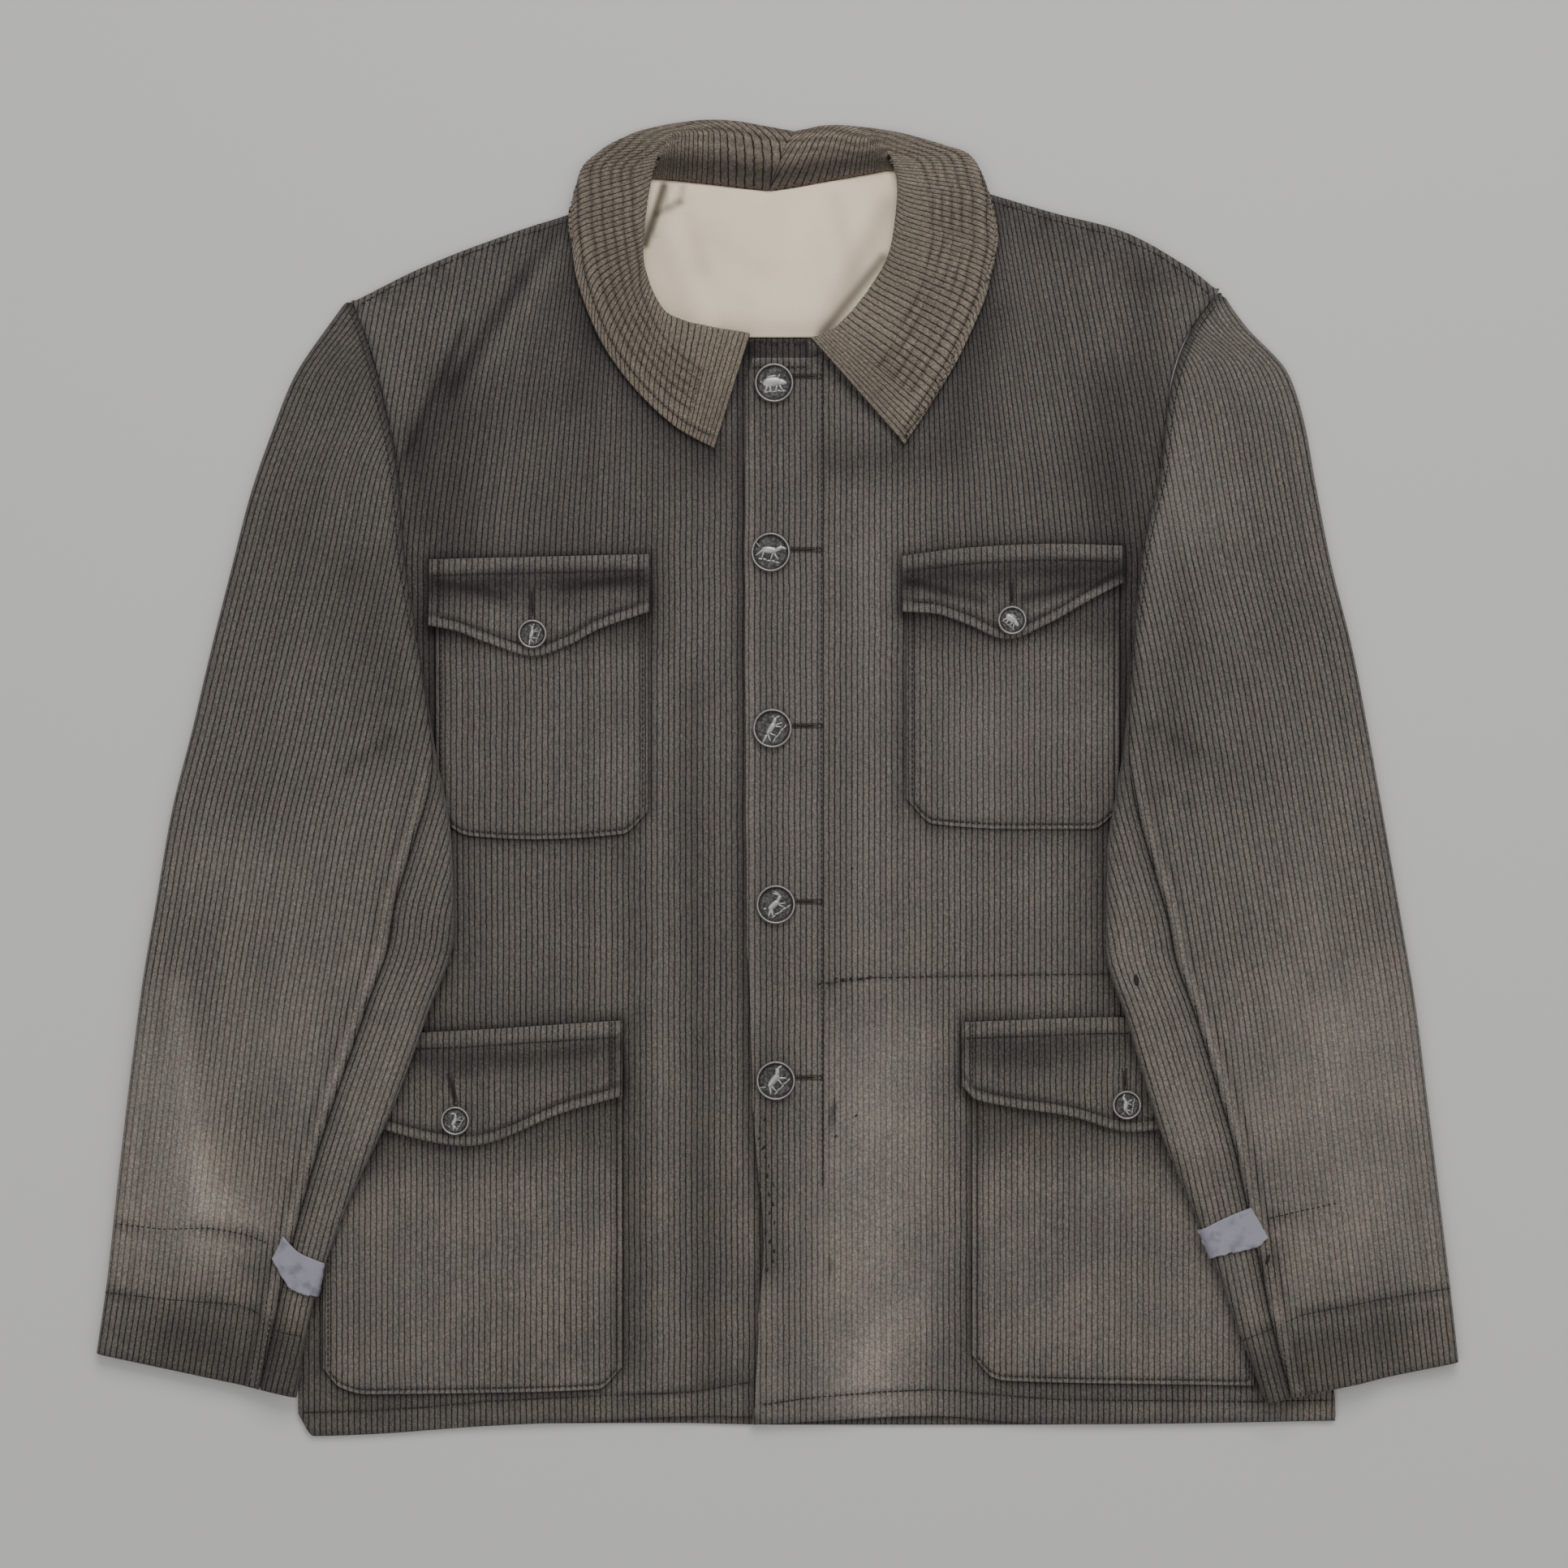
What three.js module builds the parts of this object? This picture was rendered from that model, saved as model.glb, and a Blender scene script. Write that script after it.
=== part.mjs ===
// A buttoned hunting jacket of ribbed cotton cord, laid flat on its back.
// The underside rests on z = 0, +Z points up to the viewer, +Y to the collar. Sizes are in millimetres.
// Right and left in the names are the wearer's: the right front lies on the -X side, under the left one.
import * as THREE from 'three';

// Driving dimensions
const CLOTH = { panel: 1.8, back: 2.0, lining: 1.2, collar: 2.0, sleeve: 1.8, patch: 1.0 };
const GAP = 0.3; // between two pieces at a seam, or one that lies on another
const SAFE = 0.7; // more room where a sleeve crosses many layers
const FRONT = {
  bottom: CLOTH.back + GAP, overlap: 18, near: 4, far: 44, aside: -40, level: 0.9, hollow: 3.3,
};
const BUTTON = { large: 11.6, small: 8.6, thick: 3.4, rim: 1.7, dish: 0.8, rest: 0.86, bevel: 0.4 };
const COVER = { right: -212, left: 214, share: 0.08 }; // past these the sleeves hide the fronts
const COLUMN = 13.3; // width of one stretch of a panel's outer face
const ROWS = { body: 14, lining: 4, laid: 5, collar: 17, sleeve: 18, patch: 4 };
const INNER = { body: 16, laid: 12, sleeve: 9 }; // stretches of the plain inner faces
const COLOURS = {
  cord: 0x5c5752, worn: 0x6c655f, collar: 0x6a6058, lining: 0xd0c5b4, metal: 0x9a948a, patch: 0x85838a,
};

// Edges of the body, as points of smooth curves
const SHOULDER = [
  { x: -247, y: 280 }, { x: -208, y: 299 }, { x: -151, y: 321 }, { x: -120, y: 331 }, { x: -95, y: 342 },
  { x: -74, y: 350 }, { x: -51, y: 347 }, { x: -6, y: 341 }, { x: 39, y: 348 }, { x: 69, y: 355 },
  { x: 95, y: 351 }, { x: 125, y: 342 }, { x: 162, y: 331 }, { x: 200, y: 321 }, { x: 241, y: 299 },
  { x: 256, y: 287 },
];
const SIDE_RIGHT = [
  { y: -388, x: -279 }, { y: -369, x: -281 }, { y: -162, x: -278 }, { y: 20, x: -275 }, { y: 47, x: -268 },
  { y: 71, x: -246 }, { y: 113, x: -226 }, { y: 170, x: -221 }, { y: 218, x: -227 }, { y: 253, x: -236 },
  { y: 280, x: -247 },
];
const SIDE_LEFT = [
  { y: -388, x: 328 }, { y: -162, x: 305 }, { y: 20, x: 280 }, { y: 47, x: 272 }, { y: 71, x: 248 },
  { y: 113, x: 229 }, { y: 170, x: 223 }, { y: 223, x: 226 }, { y: 251, x: 233 }, { y: 287, x: 256 },
];
const NECK_RIGHT = [
  { x: -92, y: 343 }, { x: -87, y: 300 }, { x: -79, y: 282 }, { x: -68, y: 270 }, { x: -50, y: 261 },
  { x: -20, y: 257 }, { x: 20, y: 257 },
];
const NECK_LEFT = [
  { x: -20, y: 246 }, { x: 18, y: 246 }, { x: 35, y: 254 }, { x: 52, y: 266 }, { x: 66, y: 282 },
  { x: 78, y: 302 }, { x: 86, y: 325 }, { x: 93, y: 351 },
];
const HEM_RIGHT = [
  { x: -281, y: -373 }, { x: -272, y: -386 }, { x: -241, y: -385 }, { x: -170, y: -380 },
  { x: -106, y: -377 }, { x: -51, y: -374 }, { x: 20, y: -375 },
];
const HEM_LEFT = [
  { x: -14, y: -379 }, { x: 20, y: -377 }, { x: 91, y: -374 }, { x: 143, y: -378 }, { x: 181, y: -379 },
  { x: 328, y: -377 },
];
const HEM_BACK = [
  { x: -281, y: -371 }, { x: -272, y: -384 }, { x: -170, y: -379 }, { x: -60, y: -378.5 },
  { x: 0, y: -379.5 }, { x: 139, y: -379.5 }, { x: 328, y: -377 },
];
const PLACKET = [
  { y: -379, x: -14 }, { y: -305, x: -10 }, { y: -270, x: -8 }, { y: -210, x: -13 }, { y: -138, x: -16 },
  { y: -67, x: -18 }, { y: 123, x: -19 }, { y: 227, x: -19 }, { y: 246, x: -15 },
];

// Folds of the fronts: a ridge or, below zero, a trough between two points
const FOLDS = [
  { x0: -132, y0: 318, x1: -214, y1: 215, width: 13, height: -1.1 }, // drag line to the armhole
  { x0: -105, y0: 300, x1: -190, y1: 190, width: 22, height: 1.3 },
  { x0: -190, y0: 305, x1: -232, y1: 262, width: 18, height: 0.9 },
  { x0: -212, y0: 150, x1: -200, y1: -120, width: 16, height: -0.9 }, // hollow beside the sleeve
  { x0: -150, y0: 60, x1: -150, y1: -20, width: 45, height: 1.2 },
  { x0: -62, y0: 80, x1: -60, y1: -370, width: 15, height: 1.4 }, // long fold beside the placket
  { x0: -40, y0: 60, x1: -36, y1: -370, width: 12, height: -0.9 },
  { x0: -175, y0: -230, x1: -160, y1: -340, width: 50, height: 0.9 },
  { x0: 212, y0: 290, x1: 222, y1: 190, width: 15, height: -0.9 }, // hollow before the armhole
  { x0: 192, y0: 300, x1: 175, y1: 160, width: 24, height: 1.5 },
  { x0: 205, y0: 150, x1: 196, y1: -90, width: 16, height: -0.9 },
  { x0: 60, y0: 110, x1: 52, y1: -120, width: 30, height: 1.1 },
  { x0: 45, y0: -350, x1: 100, y1: -270, width: 18, height: 1.2 },
  { x0: 175, y0: -250, x1: 165, y1: -330, width: 45, height: 0.9 },
];

// Sections of the sleeves, from the shoulder to the cuff: outer edge, inner edge, height of the flattened
// tube, and the share of its upper side that the top sleeve takes before the seam
const SLEEVE_RIGHT = [
  { s: 0, ox: -254, oy: 278, ix: -249.2, iy: 279, tall: 3.2, seam: 0.99 },
  { s: 1, ox: -265, oy: 263, ix: -241.4, iy: 261, tall: 3.4, seam: 0.99 },
  { s: 2, ox: -284, oy: 234, ix: -234.4, iy: 238, tall: 4.0, seam: 0.99 },
  { s: 3, ox: -296, oy: 204, ix: -228.4, iy: 211, tall: 4.6, seam: 0.99 },
  { s: 4, ox: -309, oy: 166, ix: -222.2, iy: 180, tall: 5.0, seam: 0.99 },
  { s: 5, ox: -320, oy: 123, ix: -217, iy: 128, tall: 5.2, seam: 0.99 },
  { s: 6, ox: -332, oy: 75, ix: -208, iy: 72, tall: 5.2, seam: 0.99 },
  { s: 7, ox: -343, oy: 28, ix: -200, iy: 18, tall: 5.2, seam: 0.98 },
  { s: 8, ox: -355, oy: -20, ix: -190, iy: -40, tall: 5.2, seam: 0.86 },
  { s: 9, ox: -364, oy: -72, ix: -189, iy: -90, tall: 5.2, seam: 0.79 },
  { s: 10, ox: -372, oy: -119, ix: -204, iy: -138, tall: 5.2, seam: 0.785 },
  { s: 11, ox: -379, oy: -172, ix: -223, iy: -190, tall: 5.2, seam: 0.776 },
  { s: 12, ox: -387, oy: -240, ix: -256, iy: -262, tall: 5.2, seam: 0.815 },
  { s: 13, ox: -393, oy: -295, ix: -274, iy: -318, tall: 5.2, seam: 0.835 },
  { s: 14, ox: -399, oy: -337, ix: -281, iy: -362, tall: 5.2, seam: 0.81 },
];
const SLEEVE_LEFT = [
  { s: 0, ox: 263, oy: 280, ix: 258.4, iy: 285, tall: 3.2, seam: 0.99 },
  { s: 1, ox: 276, oy: 263, ix: 243.6, iy: 265, tall: 3.4, seam: 0.99 },
  { s: 2, ox: 300, oy: 236, ix: 234.6, iy: 245, tall: 4.0, seam: 0.99 },
  { s: 3, ox: 309, oy: 208, ix: 228.0, iy: 217, tall: 4.6, seam: 0.99 },
  { s: 4, ox: 315, oy: 175, ix: 224, iy: 182, tall: 5.0, seam: 0.99 },
  { s: 5, ox: 324, oy: 128, ix: 212.5, iy: 132, tall: 5.2, seam: 0.99 },
  { s: 6, ox: 337, oy: 75, ix: 206.5, iy: 74, tall: 5.2, seam: 0.99 },
  { s: 7, ox: 347, oy: 23, ix: 202, iy: 18, tall: 5.2, seam: 0.97 },
  { s: 8, ox: 357, oy: -34, ix: 192.5, iy: -44, tall: 5.2, seam: 0.85 },
  { s: 9, ox: 366, oy: -86, ix: 192, iy: -98, tall: 5.2, seam: 0.776 },
  { s: 10, ox: 374, oy: -134, ix: 205, iy: -146, tall: 5.2, seam: 0.76 },
  { s: 11, ox: 381, oy: -190, ix: 223, iy: -206, tall: 5.2, seam: 0.747 },
  { s: 12, ox: 389, oy: -255, ix: 250, iy: -270, tall: 5.2, seam: 0.795 },
  { s: 13, ox: 395, oy: -305, ix: 270, iy: -325, tall: 5.2, seam: 0.84 },
  { s: 14, ox: 399, oy: -342, ix: 285, iy: -365, tall: 5.2, seam: 0.865 },
];
const SLEEVE = { lip: 10, liftTop: 214, liftFull: 176, near: 12, far: 30, strip: 30.15 };

// Sections of the collar, from its front edge to the centre back: neck seam, roll, outer contour, edge,
// and how far the section has turned from lying on the front to lying out beyond the back
const COLLAR_RIGHT = [
  { s: 0, nx: -22, ny: 253, rx: -16, ry: 259, sx: -35, sy: 199, ex: -37, ey: 193, turn: 0 },
  { s: 1, nx: -42, ny: 252, rx: -40, ry: 263, sx: -54, sy: 208, ex: -56, ey: 203, turn: 0 },
  { s: 2, nx: -71, ny: 263, rx: -65, ry: 271, sx: -78, sy: 230, ex: -81, ey: 225, turn: 0 },
  { s: 3, nx: -85, ny: 283, rx: -76, ry: 291, sx: -101, sy: 261, ex: -105, ey: 259, turn: 0 },
  { s: 4, nx: -90, ny: 305, rx: -79, ry: 306, sx: -114, sy: 301, ex: -119, ey: 300, turn: 0 },
  { s: 5, nx: -90, ny: 327, rx: -78, ry: 328, sx: -120, sy: 328, ex: -121, ey: 327, turn: 0.1 },
  { s: 6, nx: -84, ny: 347, rx: -74, ry: 353, sx: -115, sy: 354, ex: -108, ey: 350, turn: 0.4 },
  { s: 7, nx: -74, ny: 351, rx: -69, ry: 368, sx: -97, sy: 371, ex: -92, ey: 362, turn: 0.65 },
  { s: 8, nx: -62, ny: 350, rx: -57, ry: 378, sx: -73, sy: 380, ex: -72, ey: 362, turn: 0.85 },
  { s: 9, nx: -42, ny: 348, rx: -35, ry: 379, sx: -38, sy: 385, ex: -42, ey: 360, turn: 1 },
  { s: 10, nx: -5, ny: 344, rx: 5, ry: 371, sx: 10, sy: 378.5, ex: 2, ey: 356, turn: 1 },
];
const COLLAR_LEFT = [
  { s: 0, nx: 25, ny: 249, rx: 20, ry: 256, sx: 71, sy: 199, ex: 74, ey: 195, turn: 0 },
  { s: 1, nx: 40, ny: 254, rx: 33, ry: 262, sx: 87, sy: 222, ex: 90, ey: 219, turn: 0 },
  { s: 2, nx: 60, ny: 273, rx: 51, ry: 281, sx: 106, sy: 256, ex: 110, ey: 254, turn: 0 },
  { s: 3, nx: 76, ny: 296, rx: 64, ry: 302, sx: 120, sy: 291, ex: 124, ey: 290, turn: 0 },
  { s: 4, nx: 84, ny: 318, rx: 69, ry: 322, sx: 126, sy: 317, ex: 127, ey: 316, turn: 0.05 },
  { s: 5, nx: 84, ny: 340, rx: 71, ry: 343, sx: 122, sy: 345, ex: 119, ey: 348, turn: 0.18 },
  { s: 6, nx: 76, ny: 355, rx: 69, ry: 358, sx: 112, sy: 364, ex: 105, ey: 359, turn: 0.5 },
  { s: 7, nx: 66, ny: 356, rx: 64, ry: 368, sx: 91, sy: 372, ex: 88, ey: 363, turn: 0.75 },
  { s: 8, nx: 55, ny: 354, rx: 54, ry: 375, sx: 67, sy: 378, ex: 66, ey: 364, turn: 0.9 },
  { s: 9, nx: 32, ny: 350, rx: 33, ry: 376, sx: 35, sy: 382, ex: 33, ey: 360, turn: 1 },
  { s: 10, nx: -5, ny: 344, rx: 5, ry: 371, sx: 10, sy: 378.5, ex: 2, ey: 356, turn: 1 },
];
// The collar's section: each point lies part of the way from one named place to the next, first where the
// fall lies on the front, then where the stand lies out beyond the back
const COLLAR_SECTION = [
  { a: 'n', b: 'r', side: 0, sideZ: 5.6, back: 0, backZ: 3.3 },
  { a: 'n', b: 'r', side: 0.5, sideZ: 7.0, back: 0.4, backZ: 4.2 },
  { a: 'n', b: 'r', side: 0.86, sideZ: 8.8, back: 0.75, backZ: 4.6 },
  { a: 'n', b: 'r', side: 1, sideZ: 10.8, back: 1, backZ: 4.8 },
  { a: 'r', b: 's', side: 0.07, sideZ: 12.9, back: 0.35, backZ: 4.8 },
  { a: 'r', b: 's', side: 0.4, sideZ: 12.3, back: 0.65, backZ: 4.6 },
  { a: 'r', b: 's', side: 0.8, sideZ: 8.9, back: 0.9, backZ: 4.2 },
  { a: 'r', b: 's', side: 1, sideZ: 7.4, back: 1, backZ: 2.8 },
  { a: 's', b: 'e', side: 0.5, sideZ: 6.9, back: 0.07, backZ: 1.4 },
  { a: 's', b: 'e', side: 1, sideZ: 6.5, back: 1, backZ: 1.0 },
];

// Patch pockets and flaps: the two side edges, and the upper and lower edge as points of curves
const POCKETS = {
  pocket_chest_right: {
    x0: -200, x1: -76,
    upper: [{ x: -200, y: 112 }, { x: -76, y: 114 }],
    lower: [{ x: -200, y: -10 }, { x: -191, y: -29 }, { x: -180, y: -34 }, { x: -142, y: -36 },
      { x: -91, y: -33 }, { x: -76, y: -20 }],
  },
  pocket_chest_left: {
    x0: 76, x1: 200,
    upper: [{ x: 76, y: 114 }, { x: 200, y: 118 }],
    lower: [{ x: 76, y: -13 }, { x: 91, y: -27 }, { x: 139, y: -30 }, { x: 184, y: -30 }, { x: 200, y: -19 }],
  },
  pocket_hip_right: {
    x0: -266, x1: -91,
    upper: [{ x: -266, y: -172 }, { x: -91, y: -166 }],
    lower: [{ x: -266, y: -346 }, { x: -256, y: -357 }, { x: -241, y: -361 }, { x: -170, y: -360 },
      { x: -105, y: -358 }, { x: -91, y: -345 }],
  },
  pocket_hip_left: {
    x0: 114, x1: 279,
    upper: [{ x: 114, y: -163 }, { x: 279, y: -163 }],
    lower: [{ x: 114, y: -338 }, { x: 126, y: -351 }, { x: 134, y: -353 }, { x: 279, y: -356 }],
  },
};
const FLAPS = {
  flap_chest_right: {
    x0: -204, x1: -75, pocket: 'pocket_chest_right',
    upper: [{ x: -204, y: 128 }, { x: -75, y: 131 }],
    lower: [{ x: -204, y: 89 }, { x: -189, y: 86 }, { x: -170, y: 79 }, { x: -142, y: 71 },
      { x: -123, y: 77 }, { x: -104, y: 87 }, { x: -75, y: 97 }],
  },
  flap_chest_left: {
    x0: 73, x1: 202, pocket: 'pocket_chest_left',
    upper: [{ x: 73, y: 130 }, { x: 115, y: 135 }, { x: 162, y: 137 }, { x: 202, y: 136 }],
    lower: [{ x: 73, y: 97 }, { x: 91, y: 96 }, { x: 110, y: 90 }, { x: 134, y: 81 }, { x: 158, y: 90 },
      { x: 181, y: 103 }, { x: 202, y: 114 }],
  },
  flap_hip_right: {
    x0: -268, x1: -91, pocket: 'pocket_hip_right',
    upper: [{ x: -268, y: -151 }, { x: -208, y: -149 }, { x: -91, y: -142 }],
    lower: [{ x: -268, y: -188 }, { x: -229, y: -206 }, { x: -181, y: -215 }, { x: -123, y: -195 },
      { x: -91, y: -186 }],
  },
  flap_hip_left: {
    x0: 108, x1: 281, pocket: 'pocket_hip_left',
    upper: [{ x: 108, y: -143 }, { x: 203, y: -140 }, { x: 281, y: -141 }],
    lower: [{ x: 108, y: -180 }, { x: 116, y: -188 }, { x: 172, y: -198 }, { x: 207, y: -207 },
      { x: 281, y: -187 }],
  },
};
// A flap: rise of its lower edge, share of its depth that curls up, and shares where it sinks to its seam
const FLAP = { curl: 1.0, bent: 0.5, seat: 0.74, sewn: 1.1 };
const BUTTONS = [
  { name: 'button_front_1', x: -2, y: 231, radius: BUTTON.large },
  { name: 'button_front_2', x: -4, y: 132, radius: BUTTON.large },
  { name: 'button_front_3', x: -3, y: 29, radius: BUTTON.large },
  { name: 'button_front_4', x: -1, y: -74, radius: BUTTON.large },
  { name: 'button_front_5', x: -1, y: -177, radius: BUTTON.large },
  { name: 'button_chest_right', x: -143, y: 84, radius: BUTTON.small, flap: 'flap_chest_right' },
  { name: 'button_chest_left', x: 137, y: 92, radius: BUTTON.small, flap: 'flap_chest_left' },
  { name: 'button_hip_right', x: -188, y: -200, radius: BUTTON.small, flap: 'flap_hip_right' },
  { name: 'button_hip_left', x: 204, y: -191, radius: BUTTON.small, flap: 'flap_hip_left' },
];
const PATCHES = [
  { name: 'patch_right', sleeve: 'right', s0: 12.15, s1: 12.72, f0: 0.74, f1: 0.92, skew: 0.03 },
  { name: 'patch_left', sleeve: 'left', s0: 11.88, s1: 12.24, f0: 0.755, f1: 0.955, skew: -0.02 },
];

const lerp = (a, b, t) => a + (b - a) * t;
const range = (count) => Array.from({ length: count + 1 }, (_, i) => i / count);

/** 0 below a, 1 above b, and an even bend between. */
function step(a, b, value) {
  const t = Math.min(1, Math.max(0, (value - a) / (b - a)));
  return t * t * (3 - 2 * t);
}

/** A smooth curve that passes through the rows of a table and never swings past them. */
function curve(rows, at, value) {
  const n = rows.length;
  const slope = rows.slice(1).map((row, i) => (row[value] - rows[i][value]) / (row[at] - rows[i][at]));
  const bend = rows.map((_, i) => {
    if (i === 0 || i === n - 1) return slope[i === 0 ? 0 : n - 2];
    return slope[i - 1] * slope[i] <= 0 ? 0 : (2 * slope[i - 1] * slope[i]) / (slope[i - 1] + slope[i]);
  });
  return (position) => {
    const p = Math.min(rows[n - 1][at], Math.max(rows[0][at], position));
    let i = 0;
    while (i < n - 2 && p > rows[i + 1][at]) i += 1;
    const span = rows[i + 1][at] - rows[i][at];
    const t = (p - rows[i][at]) / span;
    const h = t * t * (3 - 2 * t);
    return rows[i][value] * (1 - h) + rows[i + 1][value] * h
      + span * t * (1 - t) * (bend[i] * (1 - t) - bend[i + 1] * t);
  };
}

/** Every column of a section table as a curve over its s column. */
function sections(rows) {
  const names = Object.keys(rows[0]).filter((name) => name !== 's');
  return Object.fromEntries(names.map((name) => [name, curve(rows, 's', name)]));
}

/** A closed body from a list of points and faces, with its faces turned to point out. */
function solid(points, faces) {
  const volume = faces.reduce((sum, [a, b, c]) => sum
    + points[a].dot(new THREE.Vector3().crossVectors(points[b], points[c])), 0);
  const index = volume > 0 ? faces.flat() : faces.flatMap(([a, b, c]) => [a, c, b]);
  const geometry = new THREE.BufferGeometry();
  geometry.setAttribute('position', new THREE.Float32BufferAttribute(points.flatMap((p) => p.toArray()), 3));
  geometry.setIndex(index);
  geometry.computeVertexNormals();
  return geometry;
}

/**
 * A wall of cloth: an outer face on many columns, a plain inner face on few, and the rim between them.
 * Both faces are functions of a column value and a row value.
 */
function wall(outer, inner, outerColumns, innerColumns, rows) {
  const points = [];
  const lay = (face, columns) => rows.map((v) => columns.map((u) => points.push(face(u, v)) - 1));
  const top = lay(outer, outerColumns);
  const base = lay(inner, innerColumns);
  const faces = [];
  const quad = (a, b, c, d) => faces.push([a, b, c], [a, c, d]);
  for (let j = 0; j + 1 < rows.length; j += 1) {
    for (let i = 0; i + 1 < outerColumns.length; i += 1) {
      quad(top[j][i], top[j][i + 1], top[j + 1][i + 1], top[j + 1][i]);
    }
    for (let i = 0; i + 1 < innerColumns.length; i += 1) {
      quad(base[j][i], base[j + 1][i], base[j + 1][i + 1], base[j][i + 1]);
    }
    quad(top[j][0], top[j + 1][0], base[j + 1][0], base[j][0]);
    quad(top[j].at(-1), base[j].at(-1), base[j + 1].at(-1), top[j + 1].at(-1));
  }
  const close = (upper, lower, turned) => {
    let i = 0;
    let j = 0;
    while (i + 1 < upper.length || j + 1 < lower.length) {
      const onUpper = j + 1 >= lower.length
        || (i + 1 < upper.length && outerColumns[i + 1] <= innerColumns[j + 1]);
      const face = onUpper ? [upper[i], lower[j], upper[i + 1]] : [upper[i], lower[j], lower[j + 1]];
      faces.push(turned ? [face[0], face[2], face[1]] : face);
      if (onUpper) i += 1;
      else j += 1;
    }
  };
  close(top[0], base[0], false);
  close(top.at(-1), base.at(-1), true);
  return solid(points, faces);
}

/** Even columns over a width of cloth. */
function evenColumns(width, a = 0, b = 1) {
  return range(Math.round(width / COLUMN)).map((t) => lerp(a, b, t));
}

const edge = {
  shoulder: curve(SHOULDER, 'x', 'y'),
  sideRight: curve(SIDE_RIGHT, 'y', 'x'),
  sideLeft: curve(SIDE_LEFT, 'y', 'x'),
  neckRight: curve(NECK_RIGHT, 'x', 'y'),
  neckLeft: curve(NECK_LEFT, 'x', 'y'),
  hemRight: curve(HEM_RIGHT, 'x', 'y'),
  hemLeft: curve(HEM_LEFT, 'x', 'y'),
  hemBack: curve(HEM_BACK, 'x', 'y'),
  placket: curve(PLACKET, 'y', 'x'),
};

/** How high the fronts stand off the back: a level, with the folds, kept small so that no hollow opens. */
function puff(x, y) {
  const sum = FOLDS.reduce((total, fold) => {
    const dx = fold.x1 - fold.x0;
    const dy = fold.y1 - fold.y0;
    const along = ((x - fold.x0) * dx + (y - fold.y0) * dy) / (dx * dx + dy * dy);
    const t = Math.min(1, Math.max(0, along));
    const away = Math.hypot(x - fold.x0 - dx * t, y - fold.y0 - dy * t) / fold.width;
    return total + fold.height * Math.exp(-away * away);
  }, FRONT.level);
  const edges = step(-281, -262, x) * (1 - step(286, 308, x)) * step(-386, -366, y);
  return Math.min(FRONT.hollow, Math.max(0, sum)) * lerp(0.15, 1, edges);
}

/** Underside of the right front, and of the left front, which lies over it along the placket. */
const rightUnder = (x, y) => FRONT.bottom + puff(x, y);
const leftUnder = (x, y) => rightUnder(x, y)
  + (CLOTH.panel + GAP) * (1 - step(FRONT.overlap + FRONT.near, FRONT.overlap + FRONT.far, x));
/** Top of whichever front shows at a point. */
const frontTop = (x, y) => (x < edge.placket(y) ? rightUnder(x, y) : leftUnder(x, y)) + CLOTH.panel;
/** The same, for what lies wholly to one side of the placket. */
const seatOn = (x, y) => (x < FRONT.aside ? rightUnder(x, y) : leftUnder(x, y)) + CLOTH.panel;

/** A panel that lies flat: its columns run up the cloth, and its sides follow the garment's edges. */
function panel({ columns, rows, lower, upper, xAt, under, thickness }) {
  const place = (u, v, z) => {
    const y = lerp(lower(xAt(u, null)), upper(xAt(u, null, true)), v);
    const x = xAt(u, y);
    return new THREE.Vector3(x, y, z(x, y));
  };
  const outer = (u, v) => place(u, v, (x, y) => under(x, y) + thickness);
  const inner = (u, v) => place(u, v, under);
  return wall(outer, inner, columns.outer, columns.inner, rows);
}

function backPanel() {
  const inner = 0.06;
  const xAt = (u, y, top = false) => {
    const left = y === null ? (top ? SHOULDER[0].x : HEM_BACK[0].x) : edge.sideRight(y);
    const right = y === null ? (top ? SHOULDER.at(-1).x : HEM_BACK.at(-1).x) : edge.sideLeft(y);
    if (u < inner) return lerp(left, COVER.right, u / inner);
    if (u > 1 - inner) return lerp(right, COVER.left, (1 - u) / inner);
    return lerp(COVER.right, COVER.left, (u - inner) / (1 - 2 * inner));
  };
  const columns = [0, inner / 2, ...range(18).map((t) => lerp(inner, 1 - inner, t)), 1 - inner / 2, 1];
  return panel({
    columns: { outer: columns, inner: columns }, rows: range(ROWS.body), lower: edge.hemBack,
    upper: edge.shoulder, xAt, under: () => 0, thickness: CLOTH.back,
  });
}

function rightFront() {
  const cover = COVER.right;
  const share = COVER.share;
  const xAt = (u, y, top = false) => {
    const side = y === null ? (top ? SHOULDER[0].x : HEM_RIGHT[0].x) : edge.sideRight(y);
    return u < share ? lerp(side, cover, u / share) : lerp(cover, FRONT.overlap, (u - share) / (1 - share));
  };
  const upper = (x) => (x < NECK_RIGHT[0].x ? edge.shoulder(x) : edge.neckRight(x));
  return panel({
    columns: {
      outer: [0, share / 3, (share * 2) / 3, ...evenColumns(FRONT.overlap - cover, share, 1)],
      inner: [0, share / 2, ...range(INNER.body).map((t) => lerp(share, 1, t))],
    },
    rows: range(ROWS.body), lower: edge.hemRight, upper, xAt, under: rightUnder, thickness: CLOTH.panel,
  });
}

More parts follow.
